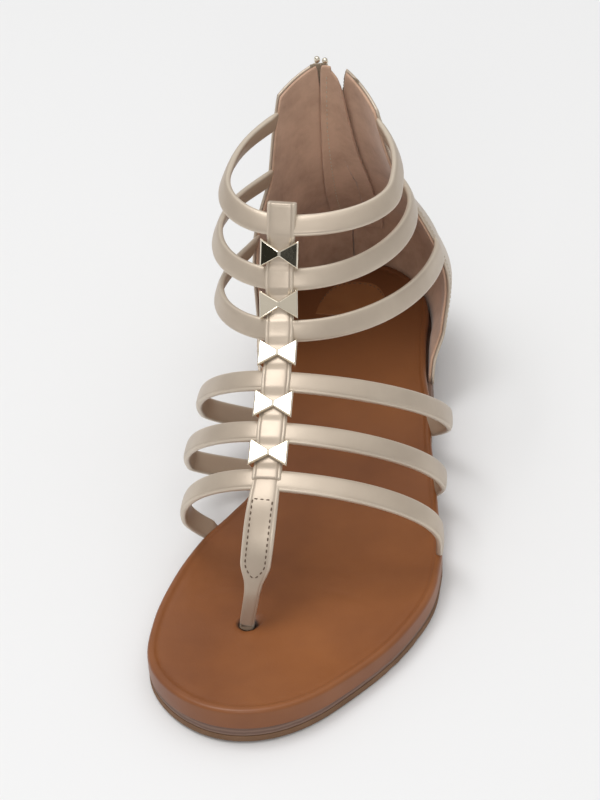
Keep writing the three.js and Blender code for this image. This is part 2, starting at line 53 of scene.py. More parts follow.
planRows = {
    "s": [0, 40, 60, 80, 100, 120, 132, 143, 160, 178, 200, 228, 246],
    "centre": [1.2, 0.6, 2.35, 5.2, 8.25, 11.35, 12.3, 10.95, 8, 5.2, 0.2, -6.1, -6.8],
    "half": [32, 32, 32.15, 31.4, 30.75, 31.65, 33, 36.5, 42, 44.1, 44.1, 44.1, 44.1],
}
sideRows = {
    "s": [0, 12, 45, 76, 82, 104, 138, 165, 205, 228, 246],
    "ground": [0.9, 0, 0, 0, 2.4, 2.6, 0, 0, 0, 0.2, 0.6],
    "under": [15.6, 15.3, 14.3, 12.2, 11.6, 8.6, 4.9, 4.3, 4.4, 5, 6.6],
    "top": [21, 20.6, 19.6, 17.6, 17, 14.4, 11, 10.3, 10.4, 11.8, 14],
}
heelCap = {"depth": 40.0, "half": 32.0}
toeCap = {"start": 178.0, "depth": 68.0, "half": 44.1}
counterRows = {
    "z": [16, 38, 60, 83, 108, 126],
    "back": [123, 123, 112.5, 101, 94.5, 92],
    "widest": [83, 78, 60, 50, 42, 40],
    "half": [32, 33.6, 33.3, 30, 28, 26],
    "centre": [1, 2.6, 2.6, -0.8, -2.8, -3],
}
edgeRows = {
    "z": [12, 16, 20, 28, 44, 62, 84, 108, 126],
    "medial": [41, 48, 56, 67, 68, 68, 79, 80, 81],
    "lateral": [56, 60, 63.5, 70, 74, 72, 80, 79, 84],
}
leanRows = {
    "z": [12, 18, 28, 38, 52, 62, 76, 96, 126],
    "lean": [0.3, 1, 4.6, 4.8, 3.8, 2.6, 1, 0, 0],
}
counter = {
    "tipMedial": 41.0, "tipLateral": 57.0, "head": 127.0, "dropMedial": 9.0, "dropLateral": 13.0,
    "blendFrom": 16.0, "blendReach": 40.0,
}
zipFastener = {
    "x": -3.0, "slotBottom": 46.0, "slotHalf": 3.6, "sliderZ": 104.0, "topZ": 133.0,
    "spreadMedial": 1.6, "spreadLateral": 3.4,
}
ankleStraps = [
    {"front": (-8.8, 16.9, 106.8), "medial": (-32.5, 42), "lateral": (26.5, 42), "endZ": 108},
    {"front": (-8.9, 8.8, 90.2), "medial": (-36, 42), "lateral": (29.5, 56), "endZ": 84},
    {"front": (-7.7, -2.8, 77.2), "medial": (-34.5, 32), "lateral": (37.5, 64), "endZ": 62},
]
vampStraps = [
    {"top": (-6.6, -19.2, 68.3), "medial": 33.8, "lateral": 52.8, "wideZ": 28, "endY": (33, 35)},
    {"top": (-5.9, -35.6, 59.5), "medial": 36, "lateral": 52.8, "wideZ": 20, "endY": (5, 2.5)},
    {"top": (-5.2, -52, 52.2), "medial": 32.3, "lateral": 54.8, "wideZ": 22, "endY": (-28.5, -30.5)},
]
toePost = {"x": -10.1, "y": -75.2}


# A monotone cubic through the rows: the slope at a row is the harmonic mean of the slopes beside it,
# and 0 where they differ in sign, so the curve never swings past a row.
def curveThrough(rows, column, by):
    t, v = np.array(rows[by], float), np.array(rows[column], float)
    slope = np.diff(v) / np.diff(t)
    tangent = np.concatenate([slope[:1], np.zeros(len(slope) - 1), slope[-1:]])
    same = slope[:-1] * slope[1:] > 0
    before, after = slope[:-1][same], slope[1:][same]
    tangent[1:-1][same] = 2 * before * after / (before + after)

    def at(x):
        x = np.clip(np.asarray(x, float), t[0], t[-1])
        i = np.clip(np.searchsorted(t, x, side="right") - 1, 0, len(slope) - 1)
        h = t[i + 1] - t[i]
        f = (x - t[i]) / h
        start = (2 * f**3 - 3 * f**2 + 1) * v[i] + (f**3 - 2 * f**2 + f) * h * tangent[i]
        return start + (3 * f**2 - 2 * f**3) * v[i + 1] + (f**3 - f**2) * h * tangent[i + 1]

    return at


planCentre = curveThrough(planRows, "centre", "s")
planHalf = curveThrough(planRows, "half", "s")
groundLine = curveThrough(sideRows, "ground", "s")
footbedUnder = curveThrough(sideRows, "under", "s")
footbedTop = curveThrough(sideRows, "top", "s")
counterBack = curveThrough(counterRows, "back", "z")
counterWidest = curveThrough(counterRows, "widest", "z")
counterHalf = curveThrough(counterRows, "half", "z")
counterCentre = curveThrough(counterRows, "centre", "z")
counterLean = curveThrough(leanRows, "lean", "z")
edgeMedial = curveThrough(edgeRows, "medial", "z")
edgeLateral = curveThrough(edgeRows, "lateral", "z")


def mix(a, b, t):
    return a + (b - a) * t


def smooth(t):
    t = np.clip(t, 0, 1)
    return t * t * (3 - 2 * t)


def unit(vectors):
    return vectors / np.maximum(np.linalg.norm(vectors, axis=-1, keepdims=True), 1e-9)


# Half width of the plan: half an ellipse at the heel, half an ellipse at the toe, the table between them.
def soleHalf(s):
    s = np.asarray(s, float)
    heel = 1 - ((heelCap["depth"] - s) / heelCap["depth"]) ** 2
    toe = 1 - ((s - toeCap["start"]) / toeCap["depth"]) ** 2
    half = np.where(s < heelCap["depth"], heelCap["half"] * np.sqrt(np.maximum(heel, 0)), planHalf(s))
    return np.where(s > toeCap["start"], toeCap["half"] * np.sqrt(np.maximum(toe, 0)), half)


# The shoe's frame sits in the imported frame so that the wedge's outer side and the counter's back agree.
plan = np.linspace(0, shoe["length"], 2000)
offset = np.array([
    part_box("wedge")[1].x * 1000 - float(np.max(planCentre(plan) + soleHalf(plan))),
    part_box("upper")[1].y * 1000 - heelY,
    0.0,
])


def toFrame(points):
    return (np.asarray(points, float) + offset) * 0.001


# Quads of a grid of rows x columns, closed round the columns if asked.
def gridQuads(rows, columns, closed=True):
    i, j = np.meshgrid(np.arange(rows - 1), np.arange(columns if closed else columns - 1), indexing="ij")
    after = (j + 1) % columns
    corners = [i * columns + j, i * columns + after, (i + 1) * columns + after, (i + 1) * columns + j]
    return np.stack(corners, axis=-1).reshape(-1, 4)


weldGap = {"distance": 2e-6, "speck": 1e-7}


def makePiece(name, points, quads, material, attributes=None, weld=False):
    points = np.asarray(points, float).reshape(-1, 3)
    mesh = bpy.data.meshes.new(name)
    mesh.vertices.add(len(points))
    mesh.vertices.foreach_set("co", toFrame(points).astype(np.float32).ravel())
    mesh.loops.add(quads.size)
    mesh.loops.foreach_set("vertex_index", quads.astype(np.int32).ravel())
    mesh.polygons.add(len(quads))
    mesh.polygons.foreach_set("loop_start", np.arange(0, quads.size, quads.shape[1], dtype=np.int32))
    mesh.polygons.foreach_set("use_smooth", np.ones(len(quads), bool))
    for key, values in (attributes or {}).items():
        layer = mesh.attributes.new(key, "FLOAT", "POINT")
        layer.data.foreach_set("value", np.asarray(values, np.float32).ravel())
    mesh.update(calc_edges=True)
    work = bmesh.new()
    work.from_mesh(mesh)
    if weld:
        bmesh.ops.remove_doubles(work, verts=work.verts, dist=weldGap["distance"])
        bmesh.ops.dissolve_degenerate(work, edges=work.edges, dist=weldGap["speck"])
    bmesh.ops.recalc_face_normals(work, faces=work.faces)
    work.to_mesh(mesh)
    work.free()
    mesh.materials.append(material)
    made = bpy.data.objects.new(name, mesh)
    bpy.context.scene.collection.objects.link(made)
    return made


def attach(piece, body="sandal", replaces=()):
    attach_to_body(piece, body)
    if replaces:
        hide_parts(*replaces)
    return piece


# Materials read Object coordinates, which are in metres, so scales are in features per metre.
def blankMaterial(name):
    material = bpy.data.materials.new(name)
    material.use_nodes = True
    tree = material.node_tree
    return material, tree, tree.nodes["Principled BSDF"]


# Each input is a socket to link or a value to set, and a colour is given without its alpha.
def setInputs(tree, node, inputs):
    for key, value in inputs.items():
        socket = node.inputs[key]
        if isinstance(value, bpy.types.NodeSocket):
            tree.links.new(value, socket)
        else:
            socket.default_value = (*value, 1) if socket.type == "RGBA" else value


def addNode(tree, kind, inputs=None, **settings):
    made = tree.nodes.new(kind)
    for key, value in settings.items():
        setattr(made, key, value)
    setInputs(tree, made, inputs or {})
    return made


def addRamp(tree, value, stops):
    made = addNode(tree, "ShaderNodeValToRGB", {"Fac": value})
    band = made.color_ramp
    while len(band.elements) < len(stops):
        band.elements.new(0.5)
    for element, (place, colour) in zip(band.elements, stops):
        element.position = place
        element.color = (*colour, 1)
    return made.outputs["Color"]


def addMath(tree, operation, first, second):
    return addNode(tree, "ShaderNodeMath", {0: first, 1: second}, operation=operation).outputs[0]


def addMix(tree, factor, first, second, blend="MIX"):
    inputs = {0: factor, 6: first, 7: second}
    return addNode(tree, "ShaderNodeMix", inputs, data_type="RGBA", blend_type=blend).outputs[2]


def objectCoords(tree, scale=(1, 1, 1)):
    coords = addNode(tree, "ShaderNodeTexCoord").outputs["Object"]
    return addNode(tree, "ShaderNodeMapping", {"Vector": coords, "Scale": scale}).outputs["Vector"]


def addNoise(tree, coords, scale, detail, rough):
    inputs = {"Vector": coords, "Scale": scale, "Detail": detail, "Roughness": rough}
    return addNode(tree, "ShaderNodeTexNoise", inputs).outputs["Fac"]


def addRange(tree, value, low, high, **settings):
    inputs = {"Value": value, "To Min": low, "To Max": high}
    return addNode(tree, "ShaderNodeMapRange", inputs, **settings)


def addBump(tree, height, strength, distance, under=None):
    inputs = {"Height": height, "Strength": strength, "Distance": distance}
    if under is not None:
        inputs["Normal"] = under
    return addNode(tree, "ShaderNodeBump", inputs).outputs["Normal"]


def addAttribute(tree, name):
    return addNode(tree, "ShaderNodeAttribute", attribute_name=name).outputs["Fac"]


# The strap's edge colour is a painted highlight along its rounded edges.
strapLook = {
    "light": (0.585, 0.495, 0.395), "dark": (0.485, 0.40, 0.315), "driftScale": 38.0,
    "grainScale": 1500.0, "grainStrength": 0.1, "grainDepth": 0.00012, "ripple": 0.0004,
    "metallic": 0.42, "rough": (0.34, 0.44), "edge": (0.82, 0.73, 0.60), "edgeHighlightShare": 0.5,
    "inner": (0.42, 0.31, 0.22),
}
footbedLook = {
    "light": (0.290, 0.098, 0.0245), "dark": (0.195, 0.061, 0.0155), "driftScale": 22.0,
    "grainScale": 1100.0, "grainStrength": 0.12, "grainDepth": 0.00015, "ripple": 0.0006,
    "metallic": 0.0, "rough": (0.34, 0.46), "specular": 0.45, "coat": 0.08,
}
leatherGrain = {
    "poreScale": 2.3, "poreStrength": 0.6, "poreDepth": 0.5, "glossScale": 6, "waveScale": 2.5,
    "waveStrength": 0.25, "coatRough": 0.35,
}


# Leather: a slow drift of tone, a finer mottle in the gloss, and a grain of small cells with pores.
def leatherMaterial(name, look):
    material, tree, shader = blankMaterial(name)
    coords = objectCoords(tree)
    grain = leatherGrain
    drift = addNoise(tree, coords, look["driftScale"], 4.0, 0.55)
    colour = addRamp(tree, drift, [(0.3, look["dark"]), (0.7, look["light"])])
    cells = addNode(tree, "ShaderNodeTexVoronoi", {"Vector": coords, "Scale": look["grainScale"]})
    pores = addNoise(tree, coords, look["grainScale"] * grain["poreScale"], 2.0, 0.6)
    metallic = look["metallic"]
    # Painted highlight: the edge colour lightens the rounded edges that the edge attribute marks.
    if "edge" in look:
        edge = addMath(tree, "MULTIPLY", addAttribute(tree, "edge"), look["edgeHighlightShare"])
        colour = addMix(tree, edge, colour, look["edge"])
    if "inner" in look:
        inner = addAttribute(tree, "inner")
        colour = addMix(tree, inner, colour, look["inner"])
        metallic = addMath(tree, "MULTIPLY", addMath(tree, "SUBTRACT", 1.0, inner), metallic)
    gloss = addNoise(tree, coords, look["driftScale"] * grain["glossScale"], 3.0, 0.6)
    strength, depth = look["grainStrength"], look["grainDepth"]
    base = addBump(tree, cells.outputs["Distance"], strength, depth)
    fine = addBump(tree, pores, strength * grain["poreStrength"], depth * grain["poreDepth"], base)
    wave = addNoise(tree, coords, look["driftScale"] * grain["waveScale"], 2.0, 0.5)
    setInputs(tree, shader, {
        "Base Color": colour, "Metallic": metallic,
        "Roughness": addRange(tree, gloss, *look["rough"]).outputs["Result"],
        "Normal": addBump(tree, wave, grain["waveStrength"], look["ripple"], fine),
        "Specular IOR Level": look.get("specular", 0.5), "Coat Weight": look.get("coat", 0.0),
        "Coat Roughness": grain["coatRough"],
    })
    return material


strapLeather = leatherMaterial("champagneLeather", strapLook)
counterLook = {key: value for key, value in strapLook.items() if key != "inner"}
counterLeather = leatherMaterial("counterLeather", counterLook)
patchLeather = leatherMaterial("patchLeather", dict(
    footbedLook, light=(0.30, 0.125, 0.045), dark=(0.23, 0.09, 0.03), driftScale=60.0))

# Painted shade on the footbed: the seat colour darkens it towards the heel, and the hole sizes set a dark
# ring round the toe post.
paintedShade = {
    "seatShadeEnd": 0.085, "seatShadeShare": 0.75, "seat": (0.13, 0.046, 0.015), "holeX": 0.0042, "holeY": 0.0040,
}


# The footbed's colour carries painted shade: it is darkened towards the heel seat inside the counter and
# round the hole of the toe post.
def footbedMaterial():
    material = leatherMaterial("cognacLeather", footbedLook)
    tree = material.node_tree
    shader = tree.nodes["Principled BSDF"]
    colour = shader.inputs["Base Color"].links[0].from_socket
    coords = addNode(tree, "ShaderNodeTexCoord").outputs["Object"]
    along = addNode(tree, "ShaderNodeSeparateXYZ", {"Vector": coords}).outputs["Y"]
    # Painted shade: the colour darkens towards the heel seat, where the counter shades it.
    seat = addRange(tree, along, 0.0, paintedShade["seatShadeShare"], interpolation_type="SMOOTHSTEP")
    setInputs(tree, seat, {"From Min": 0.0, "From Max": paintedShade["seatShadeEnd"]})
    colour = addMix(tree, seat.outputs["Result"], colour, paintedShade["seat"])
    # Painted shade: the colour is multiplied darker in a ring round the toe post's hole, where the recess is
    # shaded.
    holeX, holeY = paintedShade["holeX"], paintedShade["holeY"]
    spot = toFrame([toePost["x"], toePost["y"], 0])
    away = addNode(tree, "ShaderNodeMapping", {
        "Vector": coords, "Location": (-spot[0] / holeX, -spot[1] / holeY, 0.0),
        "Scale": (1 / holeX, 1 / holeY, 0.0),
    }).outputs["Vector"]
    far = addNode(tree, "ShaderNodeVectorMath", {0: away}, operation="LENGTH").outputs["Value"]
    shade = addRamp(tree, far, [(0.0, (0.02, 0.02, 0.02)), (0.75, (0.12, 0.10, 0.08)), (1.0, (1, 1, 1))])
    setInputs(tree, shader, {"Base Color": addMix(tree, 1.0, colour, shade, "MULTIPLY")})
    return material


footbedLeather = footbedMaterial()
liningLook = {
    "dark": (0.37, 0.222, 0.148), "light": (0.61, 0.395, 0.278), "nap": (0.70, 0.48, 0.35), "napShare": 0.35,
    "sheen": 0.35, "sheenRough": 0.4, "rough": 0.92,
}


# Brushed lining: short nap in two directions, no gloss, a little sheen.
def liningMaterial():
    material, tree, shader = blankMaterial("brushedLining")
    coords = objectCoords(tree)
    nap = addNoise(tree, objectCoords(tree, (1, 1, 0.35)), 900.0, 4.0, 0.7)
    patch = addNoise(tree, coords, 45.0, 5.0, 0.65)
    tone = addRamp(tree, patch, [(0.36, liningLook["dark"]), (0.64, liningLook["light"])])
    soft = addBump(tree, nap, 0.35, 0.0002)
    napShare = addMath(tree, "MULTIPLY", nap, liningLook["napShare"])
    setInputs(tree, shader, {
        "Base Color": addMix(tree, napShare, tone, liningLook["nap"]), "Roughness": liningLook["rough"],
        "Sheen Weight": liningLook["sheen"], "Sheen Roughness": liningLook["sheenRough"],
        "Normal": addBump(tree, patch, 0.3, 0.0006, soft),
    })
    return material


wedgeLook = {
    "dark": (0.150, 0.080, 0.055), "middle": (0.205, 0.120, 0.085), "light": (0.25, 0.155, 0.115),
    "fibre": (0.15, 0.085, 0.06), "fibreShare": 0.5, "rough": 0.58,
}


# Stacked grain: thin level lines, bent a little by noise, between a light and a dark brown.
def wedgeMaterial():
    material, tree, shader = blankMaterial("stackedWrap")
    lines = addNode(tree, "ShaderNodeTexWave", {
        "Vector": objectCoords(tree), "Scale": 210.0, "Distortion": 2.2, "Detail": 3.0, "Detail Scale": 1.2,
        "Phase Offset": 0.4,
    }, wave_type="BANDS", bands_direction="Z").outputs["Fac"]
    fibre = addNoise(tree, objectCoords(tree, (0.25, 0.25, 6.0)), 420.0, 4.0, 0.65)
    stops = [(0.1, wedgeLook["dark"]), (0.55, wedgeLook["middle"]), (0.95, wedgeLook["light"])]
    fibreShare = addMath(tree, "MULTIPLY", fibre, wedgeLook["fibreShare"])
    setInputs(tree, shader, {
        "Base Color": addMix(tree, fibreShare, addRamp(tree, lines, stops), wedgeLook["fibre"]),
        "Roughness": wedgeLook["rough"], "Normal": addBump(tree, fibre, 0.35, 0.0002),
    })
    return material


rubberLook = {
    "dark": (0.185, 0.098, 0.052), "light": (0.27, 0.15, 0.082), "speck": (0.17, 0.095, 0.05),
    "speckShare": 0.6, "rough": 0.85,
}


# Rough rubber: a slow drift of tone under fine dark specks.
def outsoleMaterial():
    material, tree, shader = blankMaterial("roughRubber")
    coords = objectCoords(tree)
    speck = addNoise(tree, coords, 700.0, 5.0, 0.7)
    patch = addNoise(tree, coords, 60.0, 4.0, 0.6)
    tone = addRamp(tree, patch, [(0.3, rubberLook["dark"]), (0.7, rubberLook["light"])])
    speckShare = addMath(tree, "MULTIPLY", speck, rubberLook["speckShare"])
    setInputs(tree, shader, {
        "Base Color": addMix(tree, speckShare, tone, rubberLook["speck"]),
        "Roughness": rubberLook["rough"], "Normal": addBump(tree, speck, 0.6, 0.0004),
    })
    return material


# Polished metal: faint brushing in the gloss and hardly any waviness.
def metalMaterial(name, colour, rough):
    material, tree, shader = blankMaterial(name)
    haze = addNoise(tree, objectCoords(tree), 260.0, 3.0, 0.6)
    setInputs(tree, shader, {
        "Base Color": colour, "Metallic": 1.0,
        "Roughness": addRange(tree, haze, rough * 0.7, rough * 1.4).outputs["Result"],
        "Normal": addBump(tree, haze, 0.08, 0.0002),
    })
    return material


tapeLook = {
    "dark": (0.27, 0.21, 0.15), "light": (0.47, 0.39, 0.29), "warp": 520.0, "weft": 460.0, "rough": 0.82,
}


# Woven tape: two crossing sets of ribs in the tape's own width and length.
def tapeMaterial():
    material, tree, shader = blankMaterial("wovenTape")
    coords = objectCoords(tree)
    warp, weft = (addNode(tree, "ShaderNodeTexWave", {"Vector": coords, "Scale": scale, "Distortion": 0.3},
                          wave_type="BANDS", bands_direction=direction).outputs["Fac"]
                  for scale, direction in ((tapeLook["warp"], "X"), (tapeLook["weft"], "Z")))
    weave = addMath(tree, "MULTIPLY", warp, weft)
    setInputs(tree, shader, {
        "Base Color": addRamp(tree, weave, [(0.0, tapeLook["dark"]), (0.8, tapeLook["light"])]),
        "Roughness": tapeLook["rough"], "Normal": addBump(tree, weave, 0.6, 0.0002),
    })
    return material


def threadMaterial(name, light, dark):
    material, tree, shader = blankMaterial(name)
    twist = addNoise(tree, objectCoords(tree), 2600.0, 2.0, 0.5)
    setInputs(tree, shader, {
        "Base Color": addRamp(tree, twist, [(0.3, dark), (0.7, light)]), "Roughness": 0.6,
        "Normal": addBump(tree, twist, 0.5, 0.0001),
    })
    return material


liningCloth = liningMaterial()
stackedWrap = wedgeMaterial()
roughRubber = outsoleMaterial()
wovenTape = tapeMaterial()
bowMetal = metalMaterial("paleGold", (0.93, 0.85, 0.70), 0.07)
zipMetal = metalMaterial("zipGold", (0.78, 0.72, 0.60), 0.2)
darkThread = threadMaterial("darkThread", (0.16, 0.11, 0.075), (0.10, 0.065, 0.04))
paleThread = threadMaterial("paleThread", (0.62, 0.54, 0.42), (0.48, 0.40, 0.30))
print("materials made")


# Sole: a layer is a fan of rows between the plan's spine and its outline.
soleGrid = {"heelSteps": 30, "sideSteps": 62, "toeSteps": 34, "innerRows": 40, "rimRows": 9}


# The outline runs from the heel's back up the outer side to the toe and back down the inner side. The
# spine is the centre line between the two caps' centres, and each outline point has its spine point.
def soleOutline():
    heelTurns = np.linspace(0, math.pi / 2, soleGrid["heelSteps"], endpoint=False)
    toeTurns = np.linspace(0, math.pi / 2, soleGrid["toeSteps"] + 1)
    side = np.linspace(heelCap["depth"], toeCap["start"], soleGrid["sideSteps"], endpoint=False)
    toe = toeCap["start"] + toeCap["depth"] * np.sin(toeTurns)
    s = np.concatenate([heelCap["depth"] * (1 - np.cos(heelTurns)), side, toe])
    sides = np.concatenate([np.ones(len(s)), -np.ones(len(s) - 2)])
    s = np.concatenate([s, s[-2:0:-1]])
    rim = np.stack([planCentre(s) + sides * soleHalf(s), heelY - s], axis=1)
    middle = np.clip(s, heelCap["depth"], toeCap["start"])
    spine = np.stack([planCentre(middle), heelY - middle], axis=1)
    return rim, spine, s


outlineRim, outlineSpine, outlineS = soleOutline()


# One layer: top rows from the spine to the rim, a round rim, and bottom rows back to the spine. `shape`
# gives the layer's low and high face at s, how far its side is set in and the radius of its two rims.
def soleLayer(name, material, shape, surface=None):
    inward = unit(outlineSpine - outlineRim)
    setIn = shape["setIn"](outlineS)
    inner = np.linspace(0, 1, soleGrid["innerRows"]) ** 0.5
    turns = np.linspace(0, math.pi / 2, soleGrid["rimRows"])

    def row(inset, share, height, top):
        point = outlineRim + inward * (setIn + inset * np.ones(len(outlineS)))[:, None]
        point = outlineSpine + (point - outlineSpine) * share
        z = shape["high" if top else "low"](heelY - point[:, 1]) + height
        if surface is not None and top:
            z = z + surface(point[:, 0], point[:, 1], share)
        return np.concatenate([point, z[:, None]], axis=1)

    high, low = shape["topRound"], shape["bottomRound"]
    rows = [row(high, share, 0.0, True) for share in inner]
    rows += [row(high * (1 - np.sin(turn)), 1.0, -high * (1 - np.cos(turn)), True) for turn in turns[1:]]
    rows += [row(low * (1 - np.cos(turn)), 1.0, low * (1 - np.sin(turn)), False) for turn in turns]
    rows += [row(low, share, 0.0, False) for share in inner[::-1][1:]]
    return makePiece(name, np.stack(rows), gridQuads(len(rows), len(outlineS)), material, weld=True)


foot = {"hollow": 1.2, "wave": 0.12, "waveTurn": 0.11, "welt": 0.5, "weltAt": 0.99, "weltHalf": 0.014,
        "groove": 0.12, "grooveAt": 0.95, "grooveHalf": 0.02, "holeX": 3.4, "holeY": 3.0, "holeDepth": 1.4,
        "creaseBend": 0.012, "creaseHalf": 0.8, "ridgeAt": 1.8, "ridgeHalf": 1.4}
creaseRows = [
    {"x": -26.0, "y": -52.0, "turn": 24.0, "half": 9.0, "depth": 0.28},
    {"x": -20.0, "y": -60.0, "turn": 18.0, "half": 11.0, "depth": 0.24},
    {"x": -28.0, "y": -66.0, "turn": 30.0, "half": 7.0, "depth": 0.2},
    {"x": 14.0, "y": -44.0, "turn": -12.0, "half": 14.0, "depth": 0.18},
    {"x": 22.0, "y": -58.0, "turn": -20.0, "half": 10.0, "depth": 0.14},
]


# A bell: 1 at 0, and near nothing past twice its half width.
def bell(away, half):
    return np.exp(-((away / half) ** 2))


# The foot's hollow: deeper at the middle, with a raised welt just inside the rolled edge, soft creases
# with a low ridge beside each where the ball bends, and a dip at the toe post's hole.
def footHollow(x, y, share):
    welt = foot["welt"] * bell(share - foot["weltAt"], foot["weltHalf"])
    groove = -foot["groove"] * bell(share - foot["grooveAt"], foot["grooveHalf"])
    z = -foot["hollow"] * (1 - share**4) + welt + groove
    for crease in creaseRows:
        turn = math.radians(crease["turn"])
        along = (x - crease["x"]) * math.cos(turn) + (y - crease["y"]) * math.sin(turn)
        across = -(x - crease["x"]) * math.sin(turn) + (y - crease["y"]) * math.cos(turn)
        across = across + foot["creaseBend"] * along**2
        fade = bell(along, crease["half"])
        z = z - crease["depth"] * fade * bell(across, foot["creaseHalf"])
        z = z + 0.5 * crease["depth"] * fade * bell(across - foot["ridgeAt"], foot["ridgeHalf"])
    hole = np.hypot((x - toePost["x"]) / foot["holeX"], (y - toePost["y"]) / foot["holeY"])
    z = z - foot["holeDepth"] * (1 - smooth((hole - 0.75) / 0.45))
    return z + foot["wave"] * np.sin((heelY - y) * foot["waveTurn"]) * (1 - share**2)


soleFit = {"footbedGap": 0.3, "footbedFrom": 62.0, "footbedReach": 26.0, "wedgeLow": 2.75, "wedgeGap": 0.1,
           "wedgeInset": 0.35, "outsoleThickness": 2.6, "outsoleInset": 0.1}
heelUndercut = {"depth": 3.5, "reach": 60.0}
tread = {"pitch": 5.0, "depth": 0.35, "land": 1.7, "edge": 0.5, "start": 16.0, "end": 214.0}
footbed = soleLayer("footbedLeather", footbedLeather, {
    "low": footbedUnder, "high": footbedTop,
    "setIn": lambda s: (shoe["wall"] + soleFit["footbedGap"])
    * (1 - smooth((s - soleFit["footbedFrom"]) / soleFit["footbedReach"])),
    "topRound": 1.5, "bottomRound": 0.3,
}, footHollow)
attach(footbed, replaces=["footbed"])
wedge = soleLayer("wedgeWrap", stackedWrap, {
    "low": lambda s: groundLine(s) + soleFit["wedgeLow"],
    "high": lambda s: footbedUnder(s) - soleFit["wedgeGap"],
    "setIn": lambda s: soleFit["wedgeInset"] * smooth(s / 90), "topRound": 0.2, "bottomRound": 0.2,
})
attach(wedge, replaces=["wedge"])


# Tread: shallow cross ribs under the heel and the ball, pressed up into the rubber.
def outsoleUnder(s):
    fromRib = np.abs(np.mod(s, tread["pitch"]) - tread["pitch"] / 2)
    ribs = tread["depth"] * smooth((fromRib - tread["land"]) / tread["edge"])
    return groundLine(s) + ribs * smooth((s - tread["start"]) / 6) * (1 - smooth((s - tread["end"]) / 8))


outsole = soleLayer("outsole", roughRubber, {
    "low": outsoleUnder, "high": lambda s: groundLine(s) + soleFit["outsoleThickness"],
    "setIn": lambda s: soleFit["outsoleInset"]
    + heelUndercut["depth"] * (1 - smooth(s / heelUndercut["reach"])),
    "topRound": 0.4, "bottomRound": 0.9,
})
attach(outsole, replaces=["outsole"])
print("sole made")


# Straps: a section carried along a path.
sectionSteps = 64
capSteps = 5


# A padded section of unit width and thickness: a superellipse, rounder outside than inside, with a
# shallow groove at `groove` of the width from each edge, or from the front edge alone if `oneSided`.
def paddedSection(outerPower, innerPower, groove, depth, reach, oneSided=False):
    a = np.linspace(0, 2 * math.pi, sectionSteps, endpoint=False)
    power = np.where(np.sin(a) >= 0, outerPower, innerPower)
    x = 0.5 * np.sign(np.cos(a)) * np.abs(np.cos(a)) ** (2 / power)
    z = 0.5 * np.sign(np.sin(a)) * np.abs(np.sin(a)) ** (2 / power)
    fromEdge = 0.5 - (x if oneSided else np.abs(x))
    z = np.where(z > 0, z * (1 - depth * bell(fromEdge - groove, reach)), z)
    return np.stack([x, z], axis=1)


# Points at even steps of length along a path, and the path's whole length.
def resample(path, count):
    step = np.linalg.norm(np.diff(path, axis=0), axis=1)
    length = np.concatenate([[0], np.cumsum(step)])
    at = np.linspace(0, length[-1], count)
    return np.stack([np.interp(at, length, path[:, i]) for i in range(3)], axis=1), length[-1]


# Rings across a path: the section's first number goes along tangent x outward and its second along
# outward. Each end closes in a quarter round of its own thickness.
def sweepStrap(name, path, outward, width, thickness, section, capReach=1.0):
    tangent = unit(np.gradient(path, axis=0))
    outward = unit(outward - tangent * np.sum(outward * tangent, axis=1, keepdims=True))
    across = np.cross(tangent, outward)
    count = len(path)
    width = np.broadcast_to(np.asarray(width, float), (count,)).copy()
    thickness = np.broadcast_to(np.asarray(thickness, float), (count,)).copy()
    turns = np.linspace(0, math.pi / 2, capSteps + 1)[1:]
    order = np.concatenate([np.zeros(capSteps, int), np.arange(count), np.full(capSteps, count - 1)])
    shift = np.concatenate([-np.sin(turns[::-1]), np.zeros(count), np.sin(turns)])
    shrink = np.concatenate([np.cos(turns[::-1]), np.ones(count), np.cos(turns)])
    wide = width[order] - thickness[order] * (1 - shrink) * capReach
    thick = thickness[order] * shrink
    centre = path[order] + tangent[order] * (shift * thickness[order] * 0.5 * capReach)[:, None]
    points = (centre[:, None]
              + across[order][:, None] * (section[None, :, 0] * wide[:, None])[..., None]
              + outward[order][:, None] * (section[None, :, 1] * thick[:, None])[..., None])
    # edge marks the rounded sides of the section, where the leather's colour gets a painted highlight.
    edge = np.clip((np.abs(section[:, 0]) - 0.40) / 0.09, 0, 1)
    inner = smooth((-section[:, 1] - 0.33) / 0.1)
    shape = points.shape[:2]
    values = {"edge": np.broadcast_to(edge, shape), "inner": np.broadcast_to(inner, shape)}
    return makePiece(name, points, gridQuads(len(order), len(section)), strapLeather, values, weld=True)


def sideName(side):
    return "medial" if side < 0 else "lateral"


# Outer wall of the counter at y and z: low down it is the sole's plan, and above that half an ellipse
# between the widest line and the back, with a blend between them. The outer side leans out a little more.
def counterX(y, z, side):
    back, widest = counterBack(z), counterWidest(z)
    s = np.maximum(back - y, 0)
    lowWall = planCentre(s) + side * soleHalf(s)
    reach = np.clip((y - widest) / (back - widest), 0, 1)
    fall = np.sqrt(np.maximum(0, 1 - reach**2))
    wall = counterCentre(z) + side * counterHalf(z) * fall
    blend = smooth((z - counter["blendFrom"]) / counter["blendReach"])
    return mix(lowWall, wall, blend) + np.where(side > 0, counterLean(z) * fall, 0)


